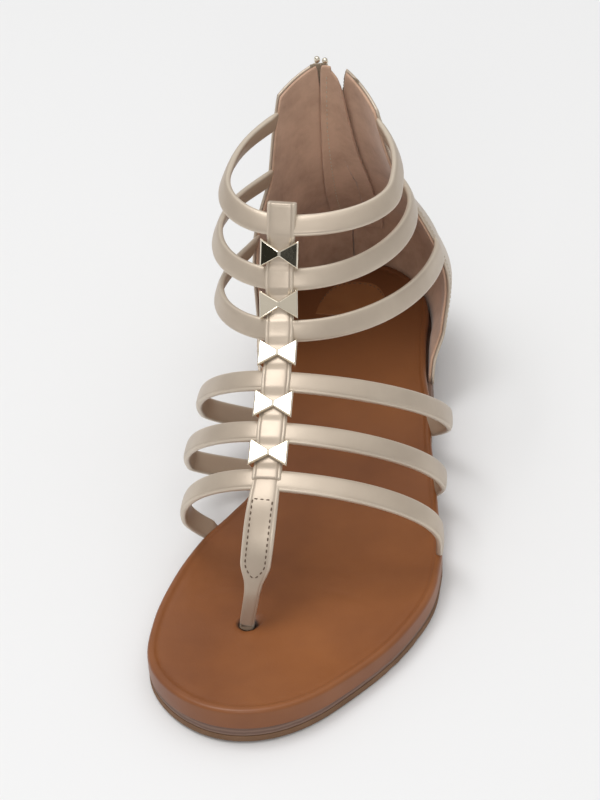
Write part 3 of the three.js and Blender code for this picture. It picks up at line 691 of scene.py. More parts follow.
# A point of the counter: u runs from -1 at the inner front edge through 0 at the back to 1 at the outer
# one, v from the sole to the top edge, and inset goes in from the outer face.
def counterPoint(u, v, inset):
    u, v = np.broadcast_arrays(np.asarray(u, float), np.asarray(v, float))
    side = np.where(u < 0, -1.0, 1.0)
    drop = np.where(u < 0, counter["dropMedial"], counter["dropLateral"])
    forward = 1 - np.cos(np.abs(u) * math.pi / 2)
    footY = mix(heelY, np.where(u < 0, counter["tipMedial"], counter["tipLateral"]), forward)
    z = mix(footbedUnder(heelY - footY), counter["head"] - drop * np.abs(u) ** 1.3, v)
    edge = np.where(u < 0, edgeMedial(z), edgeLateral(z))
    back = counterBack(z)
    y = mix(back, edge, forward)
    x = counterX(y, z, side)
    step = 0.5
    slope = (counterX(y - step, z, side) - counterX(np.minimum(y + step, back), z, side)) / (2 * step)
    normal = np.stack([side, side * slope, np.zeros_like(x)], axis=-1)
    normal = np.where(np.abs(u)[..., None] < 1e-6, np.array([0.0, 1.0, 0.0]), unit(normal))
    return np.stack([x, y, z], axis=-1) - normal * np.asarray(inset)[..., None]


ankle = {"seam": 4.0, "samples": 170, "section": paddedSection(2.9, 3.4, 0.075, 0.16, 0.022, True),
         "tuckReach": 9.0, "tuckThickness": 0.7, "backY": 92.0, "halfX": 30.0, "halfY": 45.0,
         "leanFront": 0.6, "leanBack": 0.15, "startPull": 0.45, "endPull": 0.4}


# An ankle strap's side: a quarter ellipse from the front to the widest point, then a cubic Bezier that
# runs into the counter along its wall.
def ankleSide(row, side):
    frontX, frontY, frontZ = row["front"]
    wideX, wideY = row[sideName(side)]
    endZ = row["endZ"]
    endY = float((edgeMedial if side < 0 else edgeLateral)(endZ)) + ankle["seam"]
    wallIn = side * shoe["wall"] / 2
    end = np.array([float(counterX(endY, endZ, side)) - wallIn, endY])
    edgeY = endY - ankle["seam"]
    ahead = np.array([float(counterX(edgeY, endZ, side)) - wallIn, edgeY])
    heading = unit(end - ahead)
    reach = endY - wideY
    angle = np.linspace(0, math.pi / 2, 60, endpoint=False)
    quarter = np.stack([mix(frontX, wideX, np.sin(angle)), mix(wideY, frontY, np.cos(angle))], axis=1)
    t = np.linspace(0, 1, 60)[:, None]
    first, second = np.array([wideX, wideY]), np.array([wideX, wideY + reach * ankle["startPull"]])
    third = end - heading * reach * ankle["endPull"]
    curve = first * (1 - t) ** 3 + 3 * second * t * (1 - t) ** 2 + 3 * third * t**2 * (1 - t) + end * t**3
    flat = np.concatenate([quarter, curve])
    z = mix(frontZ, endZ, (flat[:, 1] - frontY) / (endY - frontY))
    return np.concatenate([flat, z[:, None]], axis=1)


# The strap faces away from the leg's axis, and turns up at the front. Its ends thin into the counter.
def ankleStrap(index, row):
    path = np.concatenate([ankleSide(row, -1)[::-1], ankleSide(row, 1)[1:]])
    path, length = resample(path, ankle["samples"])
    frontY = row["front"][1]
    centreX = (row["medial"][0] + row["lateral"][0]) / 2
    centreY = (row["medial"][1] + row["lateral"][1]) / 2
    share = np.clip((path[:, 1] - frontY) / (ankle["backY"] - frontY), 0, 1)
    outward = np.stack([(path[:, 0] - centreX) / ankle["halfX"], (path[:, 1] - centreY) / ankle["halfY"],
                        mix(ankle["leanFront"], ankle["leanBack"], share)], axis=1)
    run = np.linspace(0, length, len(path))
    nearEnd = np.minimum(run, length - run)
    thickness = mix(ankle["tuckThickness"], shoe["strapThickness"], smooth(nearEnd / ankle["tuckReach"]))
    thickness = thickness * (1 + 0.03 * np.sin(run * 0.21 + index))
    width = shoe["strapWidth"] * (1 + 0.012 * np.sin(run * 0.13 + 2 * index))
    return sweepStrap(f"ankleStrap{index + 1}", path, outward, width, thickness, ankle["section"])


vamp = {"turn": math.radians(125), "rise": 2.2, "samples": 190, "inset": 1.2, "drawIn": 1.7, "footZ": 9.0,
        "lowZ": 20.0, "flatZ": 12.0, "halfX": 40.0, "leanFront": -0.42, "leanUp": 0.9,
        "section": paddedSection(2.9, 3.4, 0.095, 0.2, 0.022, True)}


# A vamp strap: half an ellipse over the foot, then drawn in below its widest height to the sole's edge.
def vampStrap(index, row):
    topX, topY, topZ = row["top"]
    turn = np.linspace(-vamp["turn"], vamp["turn"], 400)
    side = np.where(turn < 0, -1.0, 1.0)
    endY = np.where(turn < 0, row["endY"][0], row["endY"][1])
    half = np.where(turn < 0, row["medial"], row["lateral"])
    tuck = np.clip((np.abs(turn) - math.pi / 2) / (vamp["turn"] - math.pi / 2), 0, 1)
    s = heelY - endY
    endHalf = np.abs(planCentre(s) + side * (soleHalf(s) - vamp["inset"]) - topX)
    half = mix(half, endHalf, tuck ** vamp["drawIn"])
    x = topX + side * half * np.where(tuck > 0, 1, np.abs(np.sin(turn)))
    z = np.where(tuck > 0, mix(row["wideZ"], footbedUnder(s) + vamp["rise"], tuck),
                 mix(row["wideZ"], topZ, np.cos(turn)))
    y = mix(topY, endY, np.clip((topZ - z) / (topZ - vamp["footZ"]), 0, 1))
    path, length = resample(np.stack([x, y, z], axis=1), vamp["samples"])
    high = np.clip((path[:, 2] - vamp["lowZ"]) / (topZ - vamp["lowZ"]), 0, 1)
    rise = np.maximum(path[:, 2] - vamp["flatZ"], 0) / (topZ - vamp["flatZ"])
    outward = np.stack([(path[:, 0] - topX) / vamp["halfX"], mix(0, vamp["leanFront"], high),
                        rise * vamp["leanUp"]], axis=1)
    run = np.linspace(0, length, len(path))
    thickness = shoe["strapThickness"] * (1 + 0.03 * np.sin(run * 0.17 + 1.3 * index))
    width = shoe["strapWidth"] * (1 + 0.012 * np.sin(run * 0.11 + index))
    return sweepStrap(f"vampStrap{index + 1}", path, outward, width, thickness, vamp["section"])


for index, row in enumerate(ankleStraps):
    attach(ankleStrap(index, row), replaces=["upper"])
for index, row in enumerate(vampStraps):
    attach(vampStrap(index, row))
print("cross straps made")


bar = {"width": 9.7, "loop": 5.1, "thin": 2.6, "between": 3.3, "reach": 0.14, "fade": 0.2, "steps": 40,
       "lead": 7.3, "leadEnd": 0.4, "leadRows": 8, "widthAtLoop": 1.02, "widthBetween": 0.95,
       "section": paddedSection(4.2, 4.0, 0.1, 0.16, 0.024)}
barStations = np.array([row["front"] for row in ankleStraps] + [row["top"] for row in vampStraps], float)


# Catmull-Rom through the points with centripetal knots: the knot step is the root of the chord.
def pointsCurve(points, t):
    points = np.concatenate([[2 * points[0] - points[1]], points, [2 * points[-1] - points[-2]]])
    last = len(points) - 4
    at = np.asarray(t, float) * (last + 1)
    i = np.clip(np.floor(at).astype(int), 0, last)
    w = (at - i)[:, None]
    p0, p1, p2, p3 = (points[i + k] for k in range(4))
    d0, d1, d2 = (np.sqrt(np.linalg.norm(b - a, axis=1, keepdims=True))
                  for a, b in ((p0, p1), (p1, p2), (p2, p3)))
    m1 = ((p1 - p0) / d0 - (p2 - p0) / (d0 + d1) + (p2 - p1) / d1) * d1
    m2 = ((p2 - p1) / d1 - (p3 - p1) / (d1 + d2) + (p3 - p2) / d2) * d1
    return (p1 * (2 * w**3 - 3 * w**2 + 1) + m1 * (w**3 - 2 * w**2 + w)
            + p2 * (3 * w**2 - 2 * w**3) + m2 * (w**3 - w**2))


# The upward direction square to the bar, in the plane of the shoe's length.
def barOutward(tangent):
    out = unit(np.stack([np.zeros(len(tangent)), tangent[:, 2], -tangent[:, 1]], axis=1))
    return np.where(out[:, 2:3] < 0, -out, out)


# The strip swells where it loops over a strap and is thinner under each stud.
def centreBar():
    spans = len(barStations) - 1
    t = np.linspace(0, 1, spans * bar["steps"] + 1)
    path = pointsCurve(barStations, t)
    tangent = unit(np.gradient(path, axis=0))
    fromLoop = np.abs(t * spans - np.round(t * spans))
    thickness = mix(bar["loop"], bar["between"], smooth((fromLoop - bar["reach"]) / bar["fade"]))
    leadRows = bar["leadRows"]
    lead = path[0] - tangent[0] * np.linspace(bar["lead"], bar["leadEnd"], leadRows)[:, None]
    path = np.concatenate([lead, path])
    thickness = np.concatenate([np.full(leadRows, bar["loop"]), thickness])
    outward = barOutward(unit(np.gradient(path, axis=0)))
    fromLoop = np.concatenate([np.zeros(leadRows), fromLoop])
    width = bar["width"] * mix(bar["widthAtLoop"], bar["widthBetween"], smooth(fromLoop / 0.4))
    return sweepStrap("centreBar", path, outward, width, thickness, bar["section"], capReach=0.3)


attach(centreBar())

post = {"section": paddedSection(3.2, 3.2, 0.1, 0.12, 0.028), "samples": 130, "deepX": -0.4, "deepY": 0.2,
        "deepZ": 6.6}
thongRows = {
    "f": [0, 0.3, 0.52, 0.66, 0.74, 1],
    "width": [9.4, 10.6, 10.2, 6, 5.2, 4.8],
    "thick": [3.6, 3, 3, 3.6, 4, 4],
}
thongWidth = curveThrough(thongRows, "width", "f")
thongThick = curveThrough(thongRows, "thick", "f")
postPoints = np.array([
    barStations[-1], (-5.6, -61.6, 46.4), (-6.3, -69.2, 37), (-7.7, -73.8, 24),
    (toePost["x"], toePost["y"], float(footbedTop(heelY - toePost["y"]))),
    (toePost["x"] + post["deepX"], toePost["y"] + post["deepY"], post["deepZ"]),
])


def toePostPath(count):
    path = resample(pointsCurve(postPoints, np.linspace(0, 1, 600)), count)[0]
    return path, barOutward(unit(np.gradient(path, axis=0)))


# The tongue is wide below the bar and narrows to the post that goes between the toes.
def tongue():
    path, outward = toePostPath(post["samples"])
    f = np.linspace(0, 1, len(path))
    return sweepStrap("toePostTongue", path, outward, thongWidth(f), thongThick(f), post["section"])


attach(tongue())


# Stitches: one short capsule, copied by arrays to each place along a line. The capsule is 1 long on X.
def capsule(rings=5, sides=6):
    t = np.linspace(0, math.pi, rings)
    a = np.linspace(0, 2 * math.pi, sides, endpoint=False)
    radius = np.sin(t)[:, None] ** 0.6
    points = np.stack([
        np.broadcast_to(-np.cos(t)[:, None] * 0.5, (rings, sides)), radius * np.cos(a), radius * np.sin(a),
    ], axis=-1)
    return points.reshape(-1, 3), gridQuads(rings, sides)


# Copies of a shape: each point is the place plus the shape's three numbers along the place's three axes.
def copiesOf(shape, quads, places, axisX, axisY, axisZ):
    points = (places[:, None] + shape[None, :, 0:1] * axisX[:, None] + shape[None, :, 1:2] * axisY[:, None]
              + shape[None, :, 2:3] * axisZ[:, None])
    faces = quads[None] + (np.arange(len(places)) * len(shape))[:, None, None]
    return points.reshape(-1, 3), faces.reshape(-1, 4)


stitch = {"pitch": 1.9, "length": 1.35, "radius": 0.2, "probe": 0.2}
tongueStitch = {"start": 0.135, "end": 0.597, "roundFrom": 0.5, "roundReach": 0.1, "inset": 1.75,
                "half": 3.35, "sink": 0.04}


# Stitches lie along the line, half sunk into the leather, `length` of each `pitch` long.
def stitchRow(name, line, normals, material, pitch=stitch["pitch"], length=stitch["length"],
              radius=stitch["radius"]):
    step = np.concatenate([[0], np.cumsum(np.linalg.norm(np.diff(line, axis=0), axis=1))])
    places = np.arange(pitch / 2, step[-1], pitch)

    def at(values, shift):
        return np.stack([np.interp(places + shift, step, values[:, i]) for i in range(3)], axis=1)

    out = unit(at(normals, 0))
    along = unit(at(line, stitch["probe"]) - at(line, -stitch["probe"]))
    across = np.cross(out, along)
    points, faces = copiesOf(*capsule(), at(line, 0), along * length, across * radius, out * radius)
    return makePiece(name, points, faces, material, weld=True)


# The tongue's stitch lines follow its outline, set in from the edges, and cross it just under the bar.
def tongueLine():
    path, outward = toePostPath(400)
    f = np.linspace(0, 1, len(path))
    tangent = unit(np.gradient(path, axis=0))
    outward = unit(outward - tangent * np.sum(outward * tangent, axis=1, keepdims=True))
    across = np.cross(tangent, outward)
    picked = (f > tongueStitch["start"]) & (f < tongueStitch["end"])
    roundShare = np.clip((f - tongueStitch["roundFrom"]) / tongueStitch["roundReach"], 0, 1)
    half = np.minimum(thongWidth(f) / 2 - tongueStitch["inset"], tongueStitch["half"])
    half = half * np.sqrt(np.maximum(1 - roundShare**2, 0))
    lift = thongThick(f) / 2 - tongueStitch["sink"]
    rows = [path + across * (side * half)[:, None] + outward * lift[:, None] for side in (-1, 1)]
    left, right = rows[0][picked], rows[1][picked]
    normal = outward[picked]
    foot = np.stack([mix(left[-1], right[-1], t) for t in np.linspace(0, 1, 8)[1:-1]])
    head = np.stack([mix(right[0], left[0], t) for t in np.linspace(0, 1, 12)[1:]])
    line = np.concatenate([left, foot, right[::-1], head])
    normals = np.concatenate([normal, np.repeat(normal[-1:], len(foot), 0), normal[::-1],
                              np.repeat(normal[:1], len(head), 0)])
    return line, normals


line, normals = tongueLine()
tongueStitches = stitchRow("tongueStitches", line, normals, darkThread, pitch=2.0, length=1.25, radius=0.27)
attach(tongueStitches)
print("centre bar and toe post made")


bow = {"half": 6.5, "rise": 4.9, "neck": 0.9, "lift": 0.9, "plate": 1.2, "bevel": 0.3, "rim": 0.88,
       "tilt": 0.22, "wallFoot": 3.2, "wallBack": 2.2, "wallThickness": 0.9, "wallHead": 0.94,
       "wallGap": 0.1, "wallIn": 0.45, "round": 0.00013, "roundAbove": math.radians(20)}


# Bow studs: two wings with bevelled rims meeting at the neck, and a side wall down each edge.
def bowStud(index):
    t = np.array([(index + 0.5) / 5 - 1e-3, (index + 0.5) / 5, (index + 0.5) / 5 + 1e-3])
    before, origin, after = pointsCurve(barStations, t)
    along = unit(after - before)
    out = barOutward(along[None])[0]
    across = np.cross(along, out)
    low = bar["thin"] / 2 + bow["lift"]
    rim, top = low + bow["plate"] - bow["bevel"], low + bow["plate"]
    w, h, n = bow["half"], bow["rise"], bow["neck"]
    outline = [(0, n), (-w, h), (-w, -h), (0, -n), (w, -h), (w, h)]
    wings = [[0, 1, 2, 3], [3, 4, 5, 0]]
    points = [(x, y, low) for x, y in outline] + [(x, y, rim) for x, y in outline]
    faces = [[0, 1, 2, 3], [3, 4, 5, 0]]
    faces += [[i, (i + 1) % 6, 6 + (i + 1) % 6, 6 + i] for i in range(6)]
    for wing in wings:
        start = len(points)
        middle = np.mean([outline[i] for i in wing], axis=0)
        for i in wing:
            x, y = middle + (np.array(outline[i]) - middle) * bow["rim"]
            points.append((x, y, top + bow["tilt"] * (abs(x) / w - 0.5)))
        faces.append([start + k for k in range(4)])
        faces += [[6 + wing[k], 6 + wing[(k + 1) % 4], start + (k + 1) % 4, start + k] for k in range(4)]
    for side in (-1, 1):
        start = len(points)
        ends = ((rim - bow["wallGap"], h * bow["wallHead"], 0.0),
                (-bow["wallBack"], bow["wallFoot"], bow["wallIn"]))
        for depth, length, inward in ends:
            for x in (w - inward, w - inward - bow["wallThickness"]):
                points += [(side * x, length, depth), (side * x, -length, depth)]
        faces += [[start + k for k in face] for face in (
            (0, 1, 3, 2), (4, 6, 7, 5), (0, 4, 5, 1), (2, 3, 7, 6), (0, 2, 6, 4), (1, 5, 7, 3))]
    local = np.array(points, float)
    placed = origin + local[:, :1] * across + local[:, 1:2] * along + local[:, 2:3] * out
    made = makePiece(f"bowStud{index + 1}", placed, np.array(faces), bowMetal)
    made.data.polygons.foreach_set("use_smooth", np.zeros(len(made.data.polygons), bool))
    edges = made.modifiers.new("softEdges", "BEVEL")
    edges.width = bow["round"]
    edges.segments = 2
    edges.limit_method = "ANGLE"
    edges.angle_limit = bow["roundAbove"]
    return made


for index in range(5):
    attach(bowStud(index), replaces=[f"bow_{index + 1}"])
print("bow studs made")


# Counter: outer leather, lining, guard. Each layer has its inset and its thickness.
panel = {"across": 74, "up": 64, "leather": (0.0, 1.1), "lining": (1.15, 1.0), "liningSetBack": 0.5,
         "seam": 0.12, "slotFade": 5.0, "slotLow": 3.0, "frontShare": 0.012, "topShare": 0.011}


# How far each side of the zip has moved away from its line above the slider.
def zipOpening(z, side):
    share = np.clip((z - zipFastener["sliderZ"]) / (zipFastener["topZ"] - zipFastener["sliderZ"]), 0, 1)
    return share * zipFastener["spreadMedial" if side < 0 else "spreadLateral"]


# Half the slot's width at each height, the sides' spread above the slider, and a closed seam below it.
def slotEdge(z, side):
    fade = smooth((z - zipFastener["slotBottom"] + panel["slotLow"]) / panel["slotFade"])
    half = mix(panel["seam"], zipFastener["slotHalf"], fade)
    return zipFastener["x"] + side * (half + zipOpening(z, side))


# The counter's u for each x and v, found between samples of the wall at that v.
def uAtX(x, v, inset=0.0):
    samples = np.linspace(-0.75, 0.75, 900)
    return np.array([np.interp(target, counterPoint(samples, level, inset)[:, 0], samples)
                     for target, level in zip(x, v)])


# A closed panel: an outer and an inner face a thickness apart, and a round rim between their borders.
# `face(p, q, inset)` gives the surface on p and q from 0 to 1.
def thickPanel(name, face, across, up, inset, thickness, material, rimRows=5):
    p, q = np.meshgrid(np.linspace(0, 1, across), np.linspace(0, 1, up), indexing="ij")
    outer, inner = face(p, q, inset), face(p, q, inset + thickness)
    order = np.concatenate([
        np.stack([np.arange(across), np.zeros(across)], 1),
        np.stack([np.full(up - 1, across - 1), np.arange(1, up)], 1),
        np.stack([np.arange(across - 2, -1, -1), np.full(across - 1, up - 1)], 1),
        np.stack([np.zeros(up - 2), np.arange(up - 2, 0, -1)], 1),
    ]).astype(int)
    i, j = order[:, 0], order[:, 1]
    inside = outer[np.clip(i, 1, across - 2), np.clip(j, 1, up - 2)]
    a, b = outer[i, j], inner[i, j]
    middle, half = (a + b) / 2, (a - b) / 2
    away = a - inside
    normal = unit(half)
    away = unit(away - normal * np.sum(away * normal, axis=1, keepdims=True))
    radius = np.linalg.norm(half, axis=1, keepdims=True)
    turns = np.linspace(0, math.pi, rimRows + 2)[1:-1]
    rim = [middle + half * math.cos(turn) + away * radius * math.sin(turn) for turn in turns]
    points = np.concatenate([outer.reshape(-1, 3), inner.reshape(-1, 3), *rim])
    count = across * up
    outerQuads = gridQuads(across, up, closed=False)
    innerQuads = outerQuads[:, ::-1] + count
    border = i * up + j
    rims = [2 * count + k * len(border) + np.arange(len(border)) for k in range(rimRows)]
    loops = [border, *rims, border + count]
    rimQuads = [np.stack([here, np.roll(here, -1), np.roll(there, -1), there], 1)
                for here, there in zip(loops[:-1], loops[1:])]
    quads = np.concatenate([outerQuads, innerQuads, *rimQuads])
    return makePiece(name, points, quads, material)


# One side's panel runs from the slot's edge to the front edge and from the sole to the top.
def quarterFace(side, setBack=0.0):
    levels = np.linspace(0, 1, 120)
    heights = mix(float(footbedUnder(0)), counter["head"], levels)
    starts = uAtX(slotEdge(heights, side) + side * setBack, levels)

    def face(p, q, inset):
        q = q**0.9
        start = np.interp(q, levels, starts)
        end = side * (1 - setBack * panel["frontShare"])
        return counterPoint(mix(start, end, p), q * (1 - setBack * panel["topShare"]), inset)

    return face


for side, label in ((-1, "Inner"), (1, "Outer")):
    leather = thickPanel(f"counter{label}Leather", quarterFace(side), panel["across"], panel["up"],
                         *panel["leather"], counterLeather)
    attach(leather)
    lining = thickPanel(f"counter{label}Lining", quarterFace(side, panel["liningSetBack"]), panel["across"],
                        panel["up"], *panel["lining"], liningCloth)
    attach(lining)


# The guard covers the zip inside: sewn on the inner side, free on the outer side, its top corner round.
guard = {"low": 0.2, "high": 0.992, "inset": 2.5, "thickness": 1.1, "fall": 0.05, "corner": 0.03,
         "cornerFrom": 0.72, "cornerPower": 2.4, "stand": 0.7}
guardRows = {
    "z": [20, 60, 76, 90, 105, 119, 128],
    "seam": [-9.6, -9.2, -8.6, -7.8, -6.9, -6.0, -5.4],
    "free": [10.0, 7.6, 6.6, 5.0, 3.4, 1.6, 0.2],
}
guardLevels = np.linspace(0.15, 1, 60)
guardHeights = mix(float(footbedUnder(0)), counter["head"], guardLevels)
guardSeam = uAtX(curveThrough(guardRows, "seam", "z")(guardHeights), guardLevels, guard["inset"])
guardFree = uAtX(curveThrough(guardRows, "free", "z")(guardHeights), guardLevels, guard["inset"])


def guardFace(p, q, inset):
    corner = np.clip((p - guard["cornerFrom"]) / 0.28, 0, 1)
    high = guard["high"] - guard["fall"] * p**1.5
    high = high - guard["corner"] * (1 - np.sqrt(np.maximum(1 - corner ** guard["cornerPower"], 0)))
    v = mix(guard["low"], high, q)
    stand = guard["stand"] * smooth((p - 0.55) / 0.45) * smooth((v - 0.3) / 0.5)
    u = mix(np.interp(v, guardLevels, guardSeam), np.interp(v, guardLevels, guardFree), p)
    return counterPoint(u, v, inset + stand)


guardPiece = thickPanel("zipGuard", guardFace, 30, 60, guard["inset"], guard["thickness"], liningCloth)
attach(guardPiece, replaces=["zip_guard"])


# Stitch lines on the counter, as (from, to) on the face's p and q: along the top and front edges outside,
# beside the slot, and on the guard.
seam = {"samples": 160, "proud": 0.05, "guardProud": 0.03, "probe": 0.5}
guardLine = ((0.17, 0.17), (0.02, 0.97))
seamLines = {
    "top": ((0.06, 0.97), (0.981, 0.981)), "front": ((0.972, 0.972), (0.06, 0.97)),
    "slot": ((0.05, 0.05), (0.3, 0.97)),
}


def lineOn(face, ends, inset):
    p, q = (np.linspace(*pair, seam["samples"]) for pair in ends)
    points = face(p, q, inset)
    return points, unit(face(p, q, inset - seam["probe"]) - points)


for side, label in ((-1, "Inner"), (1, "Outer")):
    face = quarterFace(side)
    for key, ends in seamLines.items():
        points, normals = lineOn(face, ends, -seam["proud"])
        attach(stitchRow(f"{key}{label}Stitches", points, normals, paleThread))
points, normals = lineOn(guardFace, guardLine, guard["inset"] + guard["thickness"] + seam["guardProud"])
attach(stitchRow("guardStitches", points, -normals, paleThread, pitch=2.1))
print("counter made")


# Zip: tape under the slot's edges, two combs of teeth, and end stops.
zipLook = {"tapeInset": 0.95, "tapeHalf": 5.4, "tapeGap": 0.06, "tapeThickness": 0.4, "tapeLow": 2.0,
           "pitch": 1.5, "toothLength": 2.3, "toothHeight": 0.95, "toothWidth": 0.85, "toothX": 0.85,
           "toothLift": -0.1, "firstTooth": 1.5, "lastGap": 1.2, "tops": (125.6, 121.5), "tuck": 3.2}


# Above the slider each half moves away from the line, and the outer one is turned in behind its quarter.
def zipSpread(z, side):
    tucked = zipLook["tuck"] * smooth((z - zipFastener["sliderZ"] - 3) / 9) if side > 0 else 0
    return side * (zipOpening(z, side) + tucked)


# The counter's back face at x and z, from the ellipse that makes it.
def backAt(x, z):
    reach = np.sqrt(np.maximum(1 - ((x - counterCentre(z)) / counterHalf(z)) ** 2, 0))
    return mix(counterWidest(z), counterBack(z), reach)


# Half the tape: p runs from the zip's line to the tape's edge, q from its foot to its top.
def tapeFace(side):
    def face(p, q, inset):
        z = mix(zipFastener["slotBottom"] - zipLook["tapeLow"], zipLook["tops"][side > 0], q)
        x = zipFastener["x"] + side * mix(zipLook["tapeGap"], zipLook["tapeHalf"], p) + zipSpread(z, side)
        return np.stack([x, backAt(x, z) - inset, z], axis=-1)
    return face


for side, label in ((-1, "Inner"), (1, "Outer")):
    tapeHalf = thickPanel(f"zipTape{label}", tapeFace(side), 8, 60, zipLook["tapeInset"],
                          zipLook["tapeThickness"], wovenTape, rimRows=3)
    attach(tapeHalf, replaces=["zip"] if side < 0 else ())


# A tooth: a rounded block, its head toward the other comb.
def toothShape():
    x = np.array([-0.5, -0.38, 0.3, 0.5])
    grow = np.array([0.55, 0.8, 1.0, 0.7])
    a = np.linspace(0, 2 * math.pi, 8, endpoint=False)
    ring = np.stack([np.sign(wave) * np.abs(wave) ** 0.6 for wave in (np.cos(a), np.sin(a))], 1)
    points = np.stack([np.broadcast_to(x[:, None], (4, 8)), grow[:, None] * ring[:, 0] * 0.5,
                       grow[:, None] * ring[:, 1] * 0.5], axis=-1)
    ends = [np.tile([[x[0], 0, 0]], (8, 1)), np.tile([[x[-1], 0, 0]], (8, 1))]
    points = np.concatenate([ends[0][None], points, ends[1][None]])
    return points.reshape(-1, 3), gridQuads(6, 8)


# Two combs half a pitch apart, each tooth square to the counter's back.
def zipTeeth():
    shape, quads = toothShape()
    allPoints, allFaces, start = [], [], 0
    for side in (-1, 1):
        first = zipFastener["slotBottom"] + zipLook["firstTooth"] + (0.5 + side * 0.25) * zipLook["pitch"]
        z = np.arange(first, zipLook["tops"][side > 0] - zipLook["lastGap"], zipLook["pitch"])
        x = zipFastener["x"] + side * zipLook["toothX"] + zipSpread(z, side)
        y = backAt(x, z)
        slope = (backAt(x, z + 1) - backAt(x, z - 1)) / 2
        up = unit(np.stack([np.zeros_like(z), slope, np.ones_like(z)], 1))
        out = unit(np.stack([np.zeros_like(z), np.ones_like(z), -slope], 1))
        across = np.tile([[-side * 1.0, 0, 0]], (len(z), 1))
        centre = np.stack([x, y, z], 1) + out * zipLook["toothLift"]
        points, faces = copiesOf(shape, quads, centre, across * zipLook["toothLength"],
                                 up * zipLook["toothWidth"], out * zipLook["toothHeight"])
        allPoints.append(points)
        allFaces.append(faces + start)
        start += len(points)
    return makePiece("zipTeeth", np.concatenate(allPoints), np.concatenate(allFaces), zipMetal, weld=True)


attach(zipTeeth())


stops = {"places": ((-7.4, 126.9), (-4.7, 126.0)), "sink": 0.3,
         "axes": ((0, -0.3, 2.6), (1.1, 0, 0), (0, 0.95, 0.1))}


# The end stops: two beads folded over the tape's top.
def zipStops():
    places = np.array([(x, backAt(x, z) - stops["sink"], z) for x, z in stops["places"]])
    axes = [np.tile([axis], (len(places), 1)) for axis in stops["axes"]]
    points, faces = copiesOf(*capsule(9, 12), places, *axes)
    return makePiece("zipStops", points, faces, zipMetal, weld=True)


attach(zipStops())


hardCopy = {"weld": 1e-6, "flat": math.radians(2), "round": 0.0003}


# Slider and pull: merged copies of the hard parts with their flat faces joined and their edges rounded.
def roundedCopy(node, name):
    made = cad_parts[node].copy()
    made.data = made.data.copy()
    made.name = name
    made.parent = None
    for key in list(made.keys()):
        del made[key]
    bpy.context.scene.collection.objects.link(made)
    work = bmesh.new()
    work.from_mesh(made.data)
    bmesh.ops.remove_doubles(work, verts=work.verts, dist=hardCopy["weld"])
    bmesh.ops.dissolve_limit(work, angle_limit=hardCopy["flat"], verts=work.verts, edges=work.edges)
    work.to_mesh(made.data)
    work.free()
    made.data.polygons.foreach_set("use_smooth", np.ones(len(made.data.polygons), bool))
    made.data.materials.clear()
    made.data.materials.append(zipMetal)
    edges = made.modifiers.new("roundEdges", "BEVEL")
    edges.width = hardCopy["round"]
    edges.segments = 3
    edges.limit_method = "ANGLE"
    edges.harden_normals = True
    return made


attach(roundedCopy("zip_slider", "zipSlider"), replaces=["zip_slider"])
attach(roundedCopy("zip_pull", "zipPull"), body="pull", replaces=["zip_pull"])
print("zip made")


patch = {"frontY": 88.0, "half": 13.0, "reach": 21.0, "thickness": 0.35, "power": 2.6, "centreAt": 30.0,
         "lift": 0.25, "stitches": 120}


# Heel patch: a thin plain arch of leather that lies on the hollow of the seat, stitched round its back.
def patchFace(p, q, inset):
    a = (p - 0.5) * 2
    length = patch["reach"] * np.sqrt(np.maximum(1 - np.abs(a) ** patch["power"], 0.02))
    x = planCentre(patch["centreAt"]) + a * patch["half"]
    y = patch["frontY"] + q * length
    seat = footbedTop(heelY - y) - foot["hollow"] + foot["wave"] * np.sin((heelY - y) * foot["waveTurn"])
    return np.stack([x, y, seat + patch["lift"] - inset], axis=-1)


heelPatch = thickPanel("heelPatch", patchFace, 40, 24, 0.0, patch["thickness"], patchLeather, rimRows=3)
attach(heelPatch)
points = patchFace(np.linspace(0.02, 0.98, patch["stitches"]), np.full(patch["stitches"], 0.93), -0.02)
normals = np.tile([[0, 0, 1.0]], (patch["stitches"], 1))
attach(stitchRow("patchStitches", points, normals, darkThread, pitch=2.0))
print("heel patch made")


stage = {"floor": (0.83, 0.835, 0.84), "half": 3.0, "rough": 0.9, "specular": 0.1}


def makeFloor():
    half = stage["half"]
    mesh = bpy.data.meshes.new("floor")
    corners = [(-half, -half, 0), (half, -half, 0), (half, half, 0), (-half, half, 0)]
    mesh.from_pydata(corners, [], [(0, 1, 2, 3)])
    made = bpy.data.objects.new("floor", mesh)
    bpy.context.scene.collection.objects.link(made)
    material, tree, shader = blankMaterial("paleFloor")
    setInputs(tree, shader, {
        "Base Color": stage["floor"], "Roughness": stage["rough"], "Specular IOR Level": stage["specular"],
    })
    mesh.materials.append(material)


makeFloor()


def areaLight(name, place, target, size, power):
    light = bpy.data.lights.new(name, "AREA")
    light.shape = "RECTANGLE"
    light.size, light.size_y = size
    light.energy = power
    made = bpy.data.objects.new(name, light)
    made.location = place
    made.rotation_euler = (Vector(target) - Vector(place)).to_track_quat("-Z", "Y").to_euler()
    bpy.context.scene.collection.objects.link(made)


areaLight("keyLight", (-0.4, -0.02, 1.65), (0, 0, 0.03), (0.8, 0.8), 9.4)
areaLight("frontLight", (0.15, -1.5, 0.95), (0, 0.05, 0.06), (0.9, 0.35), 4.5)

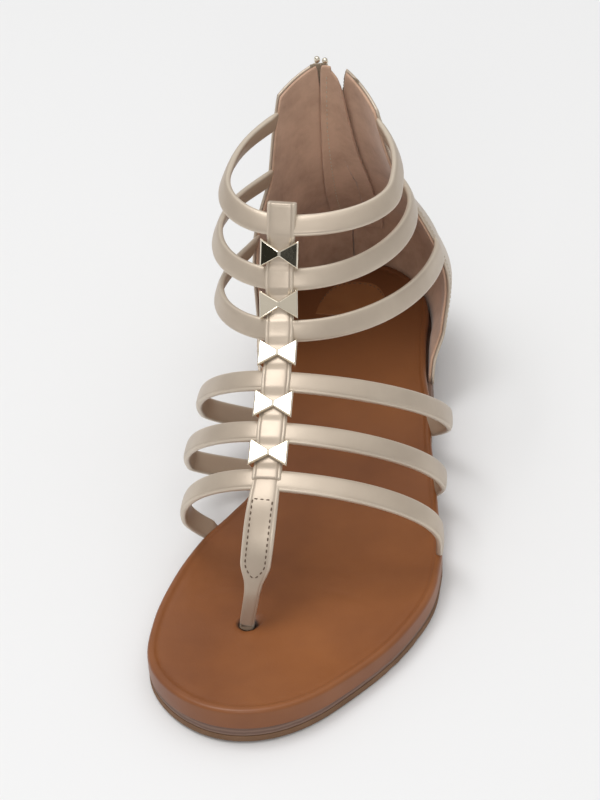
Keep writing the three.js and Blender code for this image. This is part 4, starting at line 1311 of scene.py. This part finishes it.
# The sky is brightest overhead, mid grey half way up and dark in one low patch in front.
skyLook = {
    "height": [(0.0, (0.42, 0.42, 0.43)), (0.3, (0.55, 0.55, 0.55)), (0.72, (0.62, 0.60, 0.58)),
               (0.93, (1.42, 1.42, 1.42))],
    "cardToward": (-0.06, -0.97, 0.22), "card": [(0.965, (1, 1, 1)), (0.982, (0.05, 0.05, 0.04))],
    "strength": 0.85,
}
world = bpy.data.worlds.new("studio")
bpy.context.scene.world = world
world.use_nodes = True
sky = world.node_tree
direction = addNode(sky, "ShaderNodeTexCoord").outputs["Generated"]
height = addNode(sky, "ShaderNodeSeparateXYZ", {"Vector": direction}).outputs["Z"]
glow = addRamp(sky, height, skyLook["height"])
facing = {0: direction, 1: skyLook["cardToward"]}
toward = addNode(sky, "ShaderNodeVectorMath", facing, operation="DOT_PRODUCT")
card = addRamp(sky, toward.outputs["Value"], skyLook["card"])
skyColour = addMix(sky, 1.0, glow, card, "MULTIPLY")
setInputs(sky, sky.nodes["Background"], {"Color": skyColour, "Strength": skyLook["strength"]})

# The camera stands in the shoe's frame: a place, a point it looks at, its upward direction and its lens.
cameraView = {
    "place": (165.5, -839.3, 696.5), "forward": (-0.2040, 0.7975, -0.5678),
    "right": (0.9776, 0.1964, -0.0755), "up": (-0.0513, 0.5705, 0.8197), "aim": (0.0460, -0.0426),
    "lens": 140.8, "sensor": 36.0, "nearest": 0.05,
}


def makeCamera():
    forward, right, up = (np.array(cameraView[key]) for key in ("forward", "right", "up"))
    forward = unit(forward + right * cameraView["aim"][0] + up * cameraView["aim"][1])
    right = unit(np.cross(forward, up))
    up = np.cross(right, forward)
    data = bpy.data.cameras.new("camera")
    data.lens = cameraView["lens"]
    data.sensor_width = cameraView["sensor"]
    data.clip_start = cameraView["nearest"]
    made = bpy.data.objects.new("camera", data)
    turn = Matrix((right, up, -forward)).transposed().to_4x4()
    turn.translation = Vector(toFrame(cameraView["place"]))
    made.matrix_world = turn
    bpy.context.scene.collection.objects.link(made)
    bpy.context.scene.camera = made


makeCamera()
bpy.context.scene.view_settings.view_transform = "Standard"
print("floor, light and camera made")
